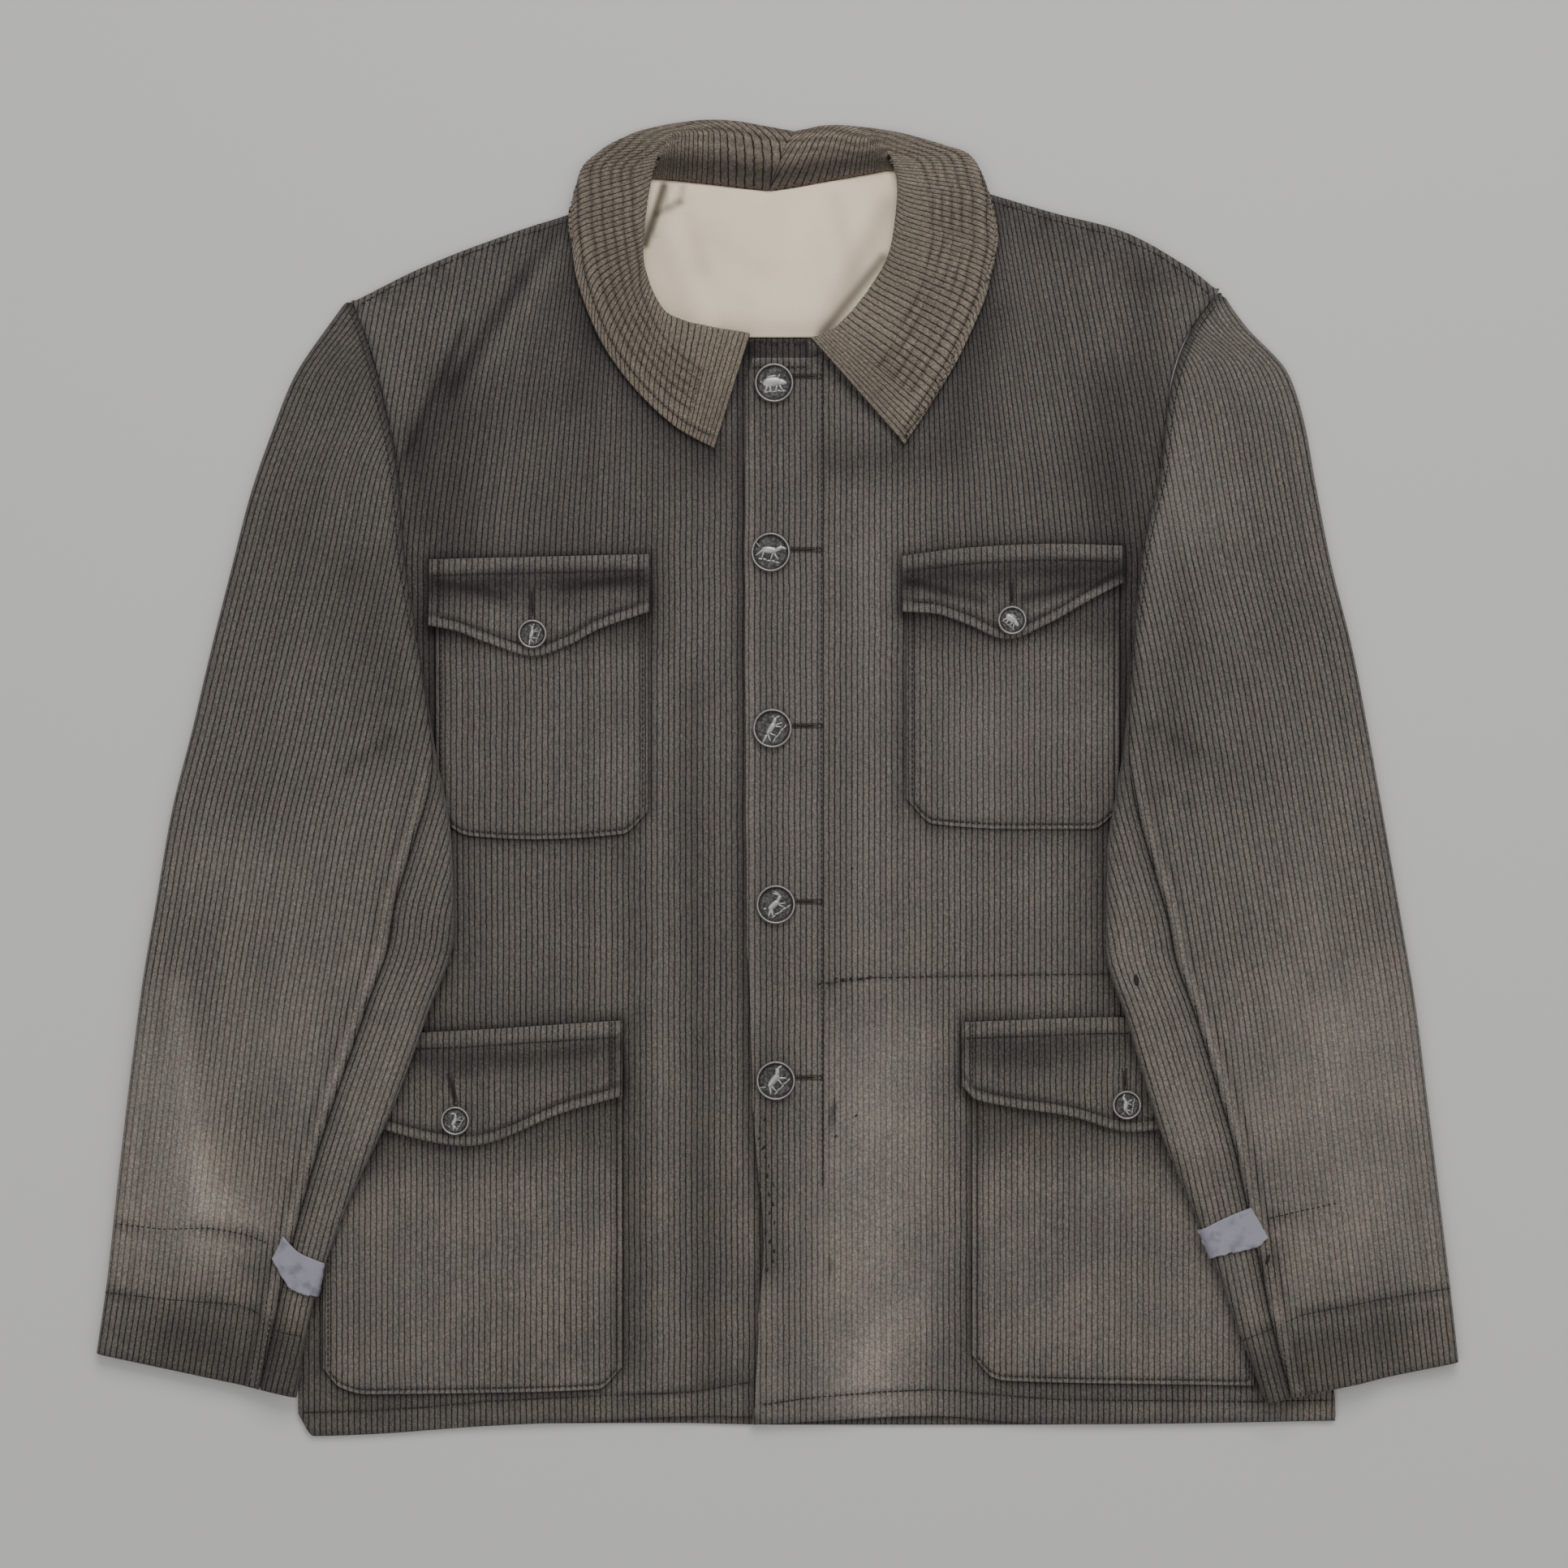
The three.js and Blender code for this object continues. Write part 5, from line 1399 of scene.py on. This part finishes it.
    def round_at(self, x: Array, y: Array) -> tuple[Array, Array]:
        """The section and the way round of a place on the upper face."""
        s = self.station_at(x, y)
        ox, oy, ix, iy = self.edges(s)
        width = np.hypot(ix - ox, iy - oy) - SLEEVE_WALL
        r = self.track["tall"](s) / 2
        arc = np.pi * r / 2
        across = np.clip(np.hypot(x - ox, y - oy) - SLEEVE_WALL / 2, r, width)
        inner = np.arcsin(np.clip((across - width + r) / r, 0, 1))
        return s, np.where(across > width - r, arc + width - r * 2 + inner * r, arc + across - r)

    def build(self) -> None:
        """Makes the two pieces, the patch and the stitching."""
        s_rows = np.linspace(0, self.last, self.rows)
        longest = float(np.max(self.girth(s_rows)[1])) / PITCH
        columns = np.concatenate([[-PLAIN, -4.0], cord_columns(0, longest)])

        strip = 24.0

        def top_face(u: Array, v: Array) -> tuple[Array, Array]:
            """The top sleeve: a plain strip beneath the outer fold, then cords up to the seam."""
            _, seam, lip = self.girth(v)
            q = np.where(u < 0, u / PLAIN * lip, np.minimum(u * PITCH, seam - GAP / 2))
            inside = seam - q
            raised = 0.7 * (1 - step(6.6, 8.4, inside)) * step(*SEAM_SHOWS, v)
            edge = raised - 0.6 * fade(inside, 0.9) - 0.4 * bell(inside - 4.2, 1.1)
            relief = np.where(u < 0, 0, cord_relief(q / PITCH) + edge)
            return self.outer(v, q, relief), self.weave(v, q, 0.0, 1.0)

        def under_face(u: Array, v: Array) -> tuple[Array, Array]:
            """The under sleeve: cords from the seam, then a plain rest."""
            half, seam, lip = self.girth(v)
            start, end = seam + GAP / 2, half * 2 - lip - GAP
            q = np.where(u <= strip, np.minimum(start + u * PITCH, end - 1),
                         lerp(np.minimum(start + strip * PITCH, end - 1), end, (u - strip) / 10))
            relief = np.where(q < half + 3, cord_relief((q - seam) / PITCH), 0) - 0.5 * fade(q - seam, 0.9)
            return self.outer(v, q, relief), self.weave(v, q, seam, 0.97)

        under_marks = np.concatenate([cord_columns(0, strip), strip + np.linspace(1, 10, 14)])
        node = f"sleeve_{self.side}"
        top, under = (
            wall(f"cloth_{node}_{part}", f"{node}_{part}", self.finishes.sleeve, marks, s_rows, face,
                 self.side == "right")
            for part, marks, face in (("top", columns, top_face), ("under", under_marks, under_face)))
        threads = self.sew()
        self.patch()
        log.info("sleeve %s", self.side)

    def sew(self) -> list[bpy.types.Object]:
        """Double topstitch along the seam, the cuff's line and the old hem's marks."""
        grey, dark, pale = Stitches(length=2.4), Stitches(thick=0.9), Stitches(length=2.2, space=1.1)
        s = np.linspace(7.4, self.last - 0.05, 220)
        for inside in (2.2, 6.2):
            q = self.girth(s)[1] - inside
            pale.line(self.outer(s, q, 0.8), sink=0)
        seam = self.outer(s, self.girth(s)[1] + 0.2, 0.0)
        dark.line(seam, length=3.6, space=0.15, sink=0)
        if self.side == "left":
            for xs, ys, rise, thick in (((209.5, 208.8), (-122.0, -114.5), 0.1, 3.4),
                                        ((284.5, 287.0), (-284.0, -277.0), 0.5, 2.2)):
                dark.one(*self.outer(*self.round_at(np.array(xs), np.array(ys)), rise), thick)
        cuff, mark = self.cross_lines()
        grey.line(on_surface(polyline(cuff, 1.5), lambda x, y: self.top_height(x, y) - 0.1), sink=0)
        # The dark stitches along the old hem's crease also carry the painted shade in it.
        dark.line(on_surface(polyline(mark, 1.5), lambda x, y: self.top_height(x, y) - 0.15), length=2.4,
                  space=0.8, sink=0)
        arm = np.linspace(0.35, 5.8, 120)
        grey.line(self.outer(arm, self.girth(arm)[0] - 4.5, -0.25), sink=0)
        return [grey.make(f"stitches_sleeve_{self.side}", self.finishes.thread),
                dark.make(f"marks_sleeve_{self.side}", self.finishes.dark),
                pale.make(f"topstitch_sleeve_{self.side}", self.finishes.pale)]

    def patch(self) -> None:
        """The pale repair over the seam, with an uneven edge."""
        upper, lower = (Curve(rows) for rows in PATCH_EDGES[self.side])

        def face(u: Array, v: Array) -> tuple[Array, Array]:
            """Points of the patch's face, with their place on it and an even tone."""
            ragged = 0.7 * drift(u * 60, v * 4, 2.4, 31) * (1 - step(0, 0.06, v))
            top, foot = (lerp(rows[0][0], rows[-1][0], u) for rows in PATCH_EDGES[self.side])
            x = lerp(foot, top, v) + 0.3 * drift(u, v * 30, 3, 33)
            y = lerp(lower(foot), upper(top), v) + ragged
            bend = 0.3 * drift(u * 24, v * 18, 6, 35)
            points = self.outer(*self.round_at(x, y), GAP + PATCH + 0.9 + bend)
            return points, np.stack([u, v, np.ones_like(u)], -1)

        obj = wall(f"repair_{self.side}", f"patch_{self.side}", self.finishes.patch, np.linspace(0, 1, 34),
                   np.linspace(0, 1, 30), face)


class CollarHalf:
    """One half of the collar, from its front edge to the centre back seam."""

    rows_marks = (14.0, 20.2, 26.4, 32.2, 38.0)  # of the parallel stitch rows, from the edge
    edge_mark = 5.7  # of the row that holds the turned edge
    length = 268.0 / PITCH  # from the front edge to the back, in cords

    def __init__(self, side: str, sections: Sequence[Rib], finishes: Finishes) -> None:
        """Takes the side, the sections and the materials."""
        self.side, self.finishes = side, finishes
        self.last = len(sections) - 1
        self.track = {key: Curve([(i, getattr(row, key)) for i, row in enumerate(sections)])
                      for key in Rib._fields}
        self.flip = side == "left"
        self.shift = -GAP / 2 if side == "right" else GAP / 2

    def middle(self, u: Array, v: Array) -> Array:
        """Point on the middle of the wall: u from the front edge to the back, v from neck seam to edge."""
        s = np.clip(u * self.last, 0, self.last)
        turn = np.clip(self.track["turn"](s), 0, 1)
        places = {key: np.stack([self.track[f"{key}x"](s), self.track[f"{key}y"](s)], -1) for key in "nrse"}
        knots = []
        for row in COLLAR_SECTION:
            flat = lerp(places[row.a], places[row.b], lerp(row.side, row.back, turn)[..., None])
            seated = (BODY_FORM.top(flat[..., 0], flat[..., 1]) - BOTTOM - PANEL) * (1 - turn)
            z = lerp(row.side_z, row.back_z, turn) + seated
            knots.append(np.stack([flat[..., 0] + self.shift * np.clip(u, 0, 1) ** 8, flat[..., 1], z], -1))
        knots = [knots[0] * 2 - knots[1], *knots, knots[-1] * 2 - knots[-2]]
        stack = np.stack(knots)
        at = np.clip(v, 0, 1) * (len(COLLAR_SECTION) - 1)
        i = np.minimum(at.astype(int), len(COLLAR_SECTION) - 2)
        t = (at - i)[..., None]
        pick = np.arange(i.size).reshape(i.shape)
        flat_stack = stack.reshape(len(knots), -1, 3)
        p0, p1, p2, p3 = (flat_stack[(i + k).ravel(), pick.ravel()].reshape(*i.shape, 3) for k in range(4))
        reach = np.linalg.norm(p2 - p1, axis=-1, keepdims=True) * 1.6
        p0, p3 = self.held(p1, p0, reach, turn), self.held(p2, p3, reach, turn)
        point = 0.5 * (2 * p1 + (p2 - p0) * t + (2 * p0 - 5 * p1 + 4 * p2 - p3) * t * t
                       + (3 * p1 - p0 - 3 * p2 + p3) * t ** 3)
        point[..., 2] = np.maximum(point[..., 2], COLLAR / 2 + 0.15)
        return point

    @staticmethod
    def held(near: Array, far: Array, reach: Array, turn: Array) -> Array:
        """Draws a far neighbour in where the collar is folded flat, so that the tight fold doesn't bulge."""
        away = far - near
        size = np.maximum(np.linalg.norm(away, axis=-1, keepdims=True), 1e-6)
        return near + away * lerp(1, np.minimum(1, reach / size), turn[..., None])

    def outer(self, u: Array, v: Array, relief: Array | float) -> Array:
        """Point on the outer face."""
        nudge = 0.004
        du = self.middle(np.clip(u + nudge, 0, 1), v) - self.middle(np.clip(u - nudge, 0, 1), v)
        dv = self.middle(u, np.clip(v + nudge, 0, 1)) - self.middle(u, np.clip(v - nudge, 0, 1))
        normal = np.cross(du, dv) * (-1 if self.flip else 1)
        normal = normal / np.maximum(np.linalg.norm(normal, axis=-1, keepdims=True), 1e-9)
        distance = np.broadcast_to(np.asarray(COLLAR / 2 + relief), np.shape(u))
        return self.middle(u, v) + normal * distance[..., None]

    def from_edge(self, u: Array, v: Array) -> Array:
        """Way along the section from the collar's edge, in millimetres."""
        fine = np.linspace(0, 1, 90)
        us = np.linspace(0, 1, 60)
        grid = self.middle(*np.meshgrid(us, fine, indexing="ij"))
        leg = np.linalg.norm(np.diff(grid, axis=1), axis=-1)
        away = np.concatenate([np.cumsum(leg[:, ::-1], axis=1)[:, ::-1], np.zeros((len(us), 1))], axis=1)
        fu, fv = np.clip(u, 0, 1) * (len(us) - 1), np.clip(v, 0, 1) * (len(fine) - 1)
        i, j = np.minimum(fu.astype(int), len(us) - 2), np.minimum(fv.astype(int), len(fine) - 2)
        a = lerp(away[i, j], away[i, j + 1], fv - j)
        b = lerp(away[i + 1, j], away[i + 1, j + 1], fv - j)
        return lerp(a, b, fu - i)

    def seam_share(self, u: Array) -> Array:
        """How far the parallel rows are kept up at a place along the collar."""
        return step(0.07, 0.1, u)

    @staticmethod
    def slant(share: Array, v: Array) -> Array:
        """How far a cord has moved to the back at a place, because the collar is cut on the slant."""
        askew = 0.072 * step(0, 0.3, share) + 0.08 * step(0.2, 0.42, share) * (1 - step(0.6, 0.8, share))
        return askew * (0.55 - v)

    def relief(self, u: Array, v: Array) -> Array:
        """Cords, stitch troughs and the turned edge."""
        away = self.from_edge(u, v)
        turn = self.track["turn"](u * self.last)
        trough = np.zeros_like(away)
        for mark in self.rows_marks:
            trough = trough - 0.5 * bell(away - mark, 1.3) * self.seam_share(u)
        trough = trough - 0.5 * bell(away - self.edge_mark, 1.1)
        trough = trough * (1 - step(0.6, 0.9, turn))
        ends = -0.6 * np.exp(-away / 0.9) - 0.5 * np.exp(-u * self.length * PITCH / 0.9)
        puffed = 0.35 * drift(u * 260, away, 9, 41)
        depth = lerp(0.42, 0.12, step(0.3, 0.8, turn))
        return cord_relief((u - self.slant(u, v)) * self.length, 1) * depth + trough + ends + puffed

    def weave(self, share: Array, v: Array) -> Array:
        """Place in the weave, and tone: stitch rows painted darker as the shade in their troughs, a lighter
        strip beside each and at the edge, and the stand painted darker as shade and dirt.
        """
        away = self.from_edge(share, v)
        x, y, _ = np.moveaxis(self.middle(share, v), -1, 0)
        stops = 0.1 * drift(x, y, 30, 43) + 0.12 * bell(away, 3)
        for mark in (*self.rows_marks, self.edge_mark):
            kept = 1.0 if mark == self.edge_mark else self.seam_share(share)
            stops = stops - 0.62 * bell(away - mark, 1.25) * kept
            stops = stops + 0.16 * bell(away - mark - 2.9, 1.2) * kept
        turn = self.track["turn"](share * self.last)
        stand = 0.6 * (1 - step(0.05, 0.3, v)) + 1.1 * bell(v - 0.09, 0.07)
        stops = stops - stand * step(0.4, 0.8, turn)
        stops = stops - 0.25 * (1 - step(0.2, 0.42, v)) * (1 - turn) - 0.15 * bell(away, 0.8)
        stops = stops + (0.14 if self.side == "left" else 0.03)
        cord = (share - self.slant(share, v)) * self.length
        return np.stack([cord * (-1 if self.flip else 1), away * MM, 2.0 ** stops], -1)

    def build(self) -> None:
        """Makes the half and its stitching."""
        def face(u: Array, v: Array) -> tuple[Array, Array]:
            """Points of the outer face, with their place in the weave and tone."""
            share = u / self.length
            for _ in range(5):
                share = np.clip(u / self.length + self.slant(share, v), 0, 1)
            return self.outer(share, v, self.relief(share, v)), self.weave(share, v)

        rows = np.concatenate([np.linspace(0, 0.42, 16), np.linspace(0.44, 1, 40)])
        obj = wall(f"cloth_collar_{self.side}", f"collar_{self.side}", self.finishes.collar,
                   cord_columns(0, self.length * 1.045), rows, face, self.flip)
        threads = self.sew()
        log.info("collar %s", self.side)

    def row_points(self, mark: float, u0: float, u1: float) -> Array:
        """Points on the collar along a line at one distance from its edge."""
        us = np.linspace(u0, u1, 200)
        vs = np.linspace(0.3, 1, 160)
        grid_u, grid_v = np.meshgrid(us, vs, indexing="ij")
        away = self.from_edge(grid_u, grid_v)
        v = np.array([np.interp(mark, away[i][::-1], vs[::-1]) for i in range(len(us))])
        return self.outer(us, v, -0.2)

    def sew(self) -> list[bpy.types.Object]:
        """Stitch rows of the collar."""
        grey = Stitches(length=2.4, space=0.6, thick=0.6)
        rows = Stitches(length=2.2, space=0.5, thick=0.55)
        for mark in self.rows_marks:
            rows.line(self.row_points(mark, 0.09, 0.72), sink=0)
        grey.line(self.row_points(self.edge_mark, 0.02, 0.985), sink=0)
        for u in (0.075, 0.093):
            v = np.linspace(0.52, 0.93, 40)
            rows.line(self.outer(np.full_like(v, u), v, -0.3), sink=0)
        rust = Stitches(length=3.0, space=0.3, thick=0.9)
        us = np.linspace(0.66, 0.995, 80)
        rust.line(self.outer(us, np.full_like(us, 0.012), 0.1), sink=0)
        return [grey.make(f"stitches_collar_{self.side}", self.finishes.thread, "collar_cloth"),
                rows.make(f"rows_collar_{self.side}", self.finishes.brown, "collar_cloth"),
                rust.make(f"neck_edge_{self.side}", self.finishes.rust, "collar_cloth")]


class Motif(Enum):
    """Which generic running animal a button bears."""

    BOAR = "boar"
    HOUND = "hound"
    FOX = "fox"
    HARE = "hare"


# Strokes of each animal on a disc of radius 1, as start, end and the thickness at both
MOTIFS: dict[Motif, list[tuple[float, float, float, float, float, float]]] = {
    Motif.BOAR: [
        (-.38, .02, .22, .05, .25, .22), (.22, .04, .52, -.06, .2, .08), (-.3, -.12, -.46, -.4, .08, .04),
        (-.2, -.15, -.14, -.42, .08, .04), (.12, -.12, .02, -.4, .07, .04), (.22, -.12, .36, -.36, .07, .04),
        (-.6, .12, -.52, .02, .03, .04), (.2, .24, .28, .36, .06, .02), (-.3, .26, .1, .3, .05, .05),
    ],
    Motif.HOUND: [
        (-.36, .04, .2, .1, .15, .18), (.2, .12, .42, .3, .12, .1), (.42, .3, .62, .26, .09, .05),
        (-.36, 0, -.6, -.28, .08, .04), (-.3, 0, -.32, -.36, .07, .035), (.16, -.02, .4, -.26, .07, .035),
        (.1, -.02, .06, -.34, .06, .035), (-.48, .1, -.74, .32, .04, .02), (.38, .36, .3, .26, .05, .03),
    ],
    Motif.FOX: [
        (-.3, .02, .2, .08, .13, .15), (.2, .1, .42, .16, .11, .09), (.42, .16, .62, .08, .07, .03),
        (-.34, -.02, -.5, -.3, .07, .035), (-.24, -.04, -.16, -.34, .06, .03), (.14, -.04, .3, -.3, .06, .03),
        (.2, -.02, .46, -.2, .06, .03), (-.4, .02, -.74, -.06, .09, .05), (.4, .24, .42, .34, .05, .02),
    ],
    Motif.HARE: [
        (-.3, 0, .14, .06, .17, .14), (.14, .08, .36, .2, .11, .09), (.34, .24, .14, .5, .05, .035),
        (.38, .24, .26, .52, .045, .03), (-.3, -.06, -.56, -.26, .1, .05), (-.26, -.08, -.4, -.36, .08, .04),
        (.12, -.04, .4, -.2, .05, .03), (.08, -.06, .26, -.34, .05, .03), (-.46, .08, -.54, .14, .06, .05),
    ],
}


class ButtonSpec(NamedTuple):
    """A button: its node, place, radius, motif, turn of the motif in degrees, and the flap that it holds."""

    node: str
    x: float
    y: float
    radius: float
    motif: Motif
    turn: float
    flap: str = ""


BUTTONS = [
    ButtonSpec("button_front_1", -2, 231, 11.6, Motif.BOAR, 4),
    ButtonSpec("button_front_2", -4, 132, 11.6, Motif.HOUND, -12),
    ButtonSpec("button_front_3", -3, 29, 11.6, Motif.FOX, 52),
    ButtonSpec("button_front_4", -1, -74, 11.6, Motif.HARE, 34),
    ButtonSpec("button_front_5", -1, -177, 11.6, Motif.HOUND, 46),
    ButtonSpec("button_chest_right", -143, 84, 8.6, Motif.FOX, 70, "flap_chest_right"),
    ButtonSpec("button_chest_left", 137, 92, 8.6, Motif.BOAR, -40, "flap_chest_left"),
    ButtonSpec("button_hip_right", -188, -200, 8.6, Motif.HARE, 58, "flap_hip_right"),
    ButtonSpec("button_hip_left", 204, -191, 8.6, Motif.HOUND, 80, "flap_hip_left"),
]
# Buttonholes: where each begins and ends, and the flap that it is in
HOLES = [(4, y + 1.5, 25.5, y + 1.5, "") for y in (231 + 2.5, 132, 29, -74, -177)] + [
    (-143.9, 111, -143, 93, "flap_chest_right"), (136.8, 116, 137.3, 101, "flap_chest_left"),
    (-191.9, -173, -188, -191, "flap_hip_right"), (202.8, -170, 203.4, -182, "flap_hip_left")]


class Buttons:
    """Pressed metal buttons with a relief, and the buttonholes that they pass through."""

    thick = 3.4
    rim = 1.3  # width of the rolled rim
    dish = 1.0  # how deep the ground lies below it
    motif = 1.32  # size of the animal

    def __init__(self, finishes: Finishes) -> None:
        """Takes the materials."""
        self.finishes = finishes

    def build(self) -> None:
        """Makes every button and buttonhole."""
        for spec in BUTTONS:
            self.button(spec)
        self.holes()
        log.info("buttons")

    def surface(self, flap: str, x: Array, y: Array) -> Array:
        """Top of the cloth under a button."""
        return flap_top(flap, x, y) if flap else BODY_FORM.top(x, y)

    def button(self, spec: ButtonSpec) -> None:
        """A turned disc with a rolled rim, and its animal in relief."""
        angle = np.linspace(0, 2 * np.pi, 13)
        reach = np.array([0.0, 0.5, 1.0])[:, None] * spec.radius * 0.86
        seat = self.surface(spec.flap, spec.x + reach * np.cos(angle), spec.y + reach * np.sin(angle))
        z0 = float(seat.max()) + GAP
        lip = spec.radius - self.rim
        floor = self.thick - self.dish
        profile = [
            (0, 0, 0), (spec.radius * .86, 0, 0), (spec.radius * .97, .7, .3), (spec.radius, 1.6, .6),
            (spec.radius - .25, 2.7, .7), (spec.radius - .6, 3.25, .85), (spec.radius - .8, self.thick, .85),
            (lip + .1, 3.1, .6), (lip - .35, floor + .15, .15), (lip * .8, floor, .3),
            (lip * .4, floor + .1, .28), (0, floor + .12, .2),
        ]
        bm = bmesh.new()
        rub = bm.verts.layers.float.new("rub")
        ring = []
        for r, z, worn in profile:
            vert = bm.verts.new((r, 0, z))
            vert[rub] = worn
            ring.append(vert)
        edges = [bm.edges.new(pair) for pair in zip(ring[:-1], ring[1:])]
        bmesh.ops.spin(bm, geom=ring + edges, cent=(0, 0, 0), axis=(0, 0, 1), angle=2 * math.pi, steps=48,
                       use_merge=True, use_duplicate=False)
        bmesh.ops.remove_doubles(bm, verts=bm.verts, dist=0.001)
        bmesh.ops.recalc_face_normals(bm, faces=bm.faces)
        for stroke in MOTIFS[spec.motif]:
            self.stroke(bm, rub, stroke, lip * self.motif, floor, math.radians(spec.turn))
        self.ground_line(bm, rub, lip, floor, math.radians(spec.turn))
        tilt = math.radians(2.0)
        lean = Vector((math.sin(spec.x), math.cos(spec.y), 0))
        for vert in bm.verts:
            sway = (vert.co.x * lean.x + vert.co.y * lean.y) * math.tan(tilt) * 0.5
            vert.co = Vector((spec.x + vert.co.x, spec.y + vert.co.y, z0 + 0.25 + vert.co.z + sway)) * MM
        obj = from_bmesh(spec.node.replace("button", "stud"), bm)
        dress(obj, self.finishes.metal, "button_metal")
        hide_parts(spec.node)

    def stroke(self, bm: bmesh.types.BMesh, rub: bmesh.types.BMLayerItem, stroke: tuple, radius: float,
               floor: float, turn: float) -> None:
        """Adds one rounded, flattened limb of a motif to a button."""
        x0, y0, x1, y1, t0, t1 = (value * radius for value in stroke)
        made = bmesh.ops.create_uvsphere(bm, u_segments=14, v_segments=8, radius=1)["verts"]
        length = math.hypot(x1 - x0, y1 - y0)
        ahead = Vector(((x1 - x0), (y1 - y0), 0)) / max(length, 1e-6)
        side = Vector((-ahead.y, ahead.x, 0))
        cos, sin = math.cos(turn), math.sin(turn)
        for vert in made:
            along = vert.co.x
            thick = t0 + (t1 - t0) * (along + 1) / 2
            share = (math.copysign(abs(along) ** .8, along) + 1) / 2
            centre = Vector((x0, y0, 0)).lerp(Vector((x1, y1, 0)), share)
            flat = centre + ahead * along * thick * 0.6 + side * vert.co.y * thick
            z = floor + max(vert.co.z, -0.2) * min(0.95, 0.45 + thick * 0.3)
            vert.co = Vector((flat.x * cos - flat.y * sin, flat.x * sin + flat.y * cos, z))
            vert[rub] = 1.0 if z > floor + 0.1 else 0.35

    def ground_line(self, bm: bmesh.types.BMesh, rub: bmesh.types.BMLayerItem, radius: float, floor: float,
                    turn: float) -> None:
        """Adds a low band of ground under the animal."""
        for part in range(5):
            x = -0.5 + part * 0.25
            line = (x - .1, -.5 + .05 * (part % 2), x + .12, -.5, .07, .06)
            self.stroke(bm, rub, line, radius, floor - .25, turn)

    def holes(self) -> None:
        """Buttonholes: a dark slit between two rows of close cross stitches."""
        slit, purl = Stitches(thick=1.5), Stitches(thick=0.7)
        for x0, y0, x1, y1, flap in HOLES:
            start, end = np.array([x0, y0]), np.array([x1, y1])
            ahead = (end - start) / np.linalg.norm(end - start)
            side = np.array([-ahead[1], ahead[0]])

            def lifted(point: Array, rise: float, flap: str = flap) -> Array:
                """A plane point on the cloth."""
                z = float(self.surface(flap, np.array(point[0]), np.array(point[1])))
                return np.array([point[0], point[1], z + rise])

            slit.one(lifted(start, -.2), lifted(end, -.2))
            for at in np.arange(0, np.linalg.norm(end - start), 0.85):
                for sign in (-1, 1):
                    centre = start + ahead * at + side * sign * 1.15
                    purl.one(lifted(centre - side * .75, .02), lifted(centre + side * .75, -.12))
            tip = end + ahead * 0.4
            for part in range(-2, 3):
                near, far = (tip + side * part * .5 + ahead * reach for reach in (-.6, .7))
                purl.one(lifted(near, 0), lifted(far, -.1))
        slit.make("buttonhole_slits", self.finishes.dark)
        purl.make("buttonhole_purl", self.finishes.thread)


class Stage:
    """The floor, the light and the camera."""

    distance = 2.4  # of the camera from the floor, in metres
    level = 8.0  # height of the cloth at which the picture's side is measured

    def build(self) -> None:
        """Makes the floor, the lamps and the camera."""
        bm = bmesh.new()
        bmesh.ops.create_grid(bm, x_segments=1, y_segments=1, size=6)
        floor = from_bmesh("floor", bm, smooth=False)
        sh = Shader("floor_paper")
        sh.set(Base_Color=(0.62, 0.61, 0.59, 1), Roughness=0.9)
        floor.data.materials.append(sh.material)
        self.lamp("key", (0.25, 1.7, 1.9), 1.5, 34)
        self.lamp("fill", (-0.9, -0.5, 2.3), 2.0, 16)
        self.lamp("side", (1.6, 0.2, 1.9), 1.6, 10)
        world = bpy.data.worlds.new("room")
        bpy.context.scene.world = world
        world.use_nodes = True
        world.node_tree.nodes["Background"].inputs[0].default_value = (0.95, 0.97, 1, 1)
        world.node_tree.nodes["Background"].inputs[1].default_value = 0.32
        self.camera()

    def lamp(self, name: str, place: tuple[float, float, float], size: float, power: float) -> None:
        """A soft square lamp that looks at the jacket's middle."""
        data = bpy.data.lights.new(name, "AREA")
        data.size, data.energy = size, power
        lamp = bpy.data.objects.new(name, data)
        lamp.location = place
        lamp.rotation_euler = (-Vector(place)).to_track_quat("-Z", "Y").to_euler()
        bpy.context.scene.collection.objects.link(lamp)

    def camera(self) -> None:
        """A camera that looks straight down."""
        data = bpy.data.cameras.new("camera")
        data.sensor_width = 36
        away = self.distance - self.level * MM
        data.lens = data.sensor_width * away / (IMAGE_MM * MM)
        camera = bpy.data.objects.new("camera", data)
        camera.location = (IMAGE_CENTRE[0] * MM, IMAGE_CENTRE[1] * MM, self.distance)
        bpy.context.scene.collection.objects.link(camera)
        bpy.context.scene.camera = camera


def main() -> None:
    """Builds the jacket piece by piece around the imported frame."""
    logging.basicConfig(level=logging.INFO)
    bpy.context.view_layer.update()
    Stage().build()
    finishes = Finishes()
    Fronts(finishes).build()
    log.info("fronts, back and lining")
    LaidPieces(finishes).build()
    Sleeve("right", SLEEVE_RIGHT, finishes).build()
    Sleeve("left", SLEEVE_LEFT, finishes).build()
    CollarHalf("right", COLLAR_RIGHT, finishes).build()
    CollarHalf("left", COLLAR_LEFT, finishes).build()
    Buttons(finishes).build()


if __name__ == "__main__":
    main()
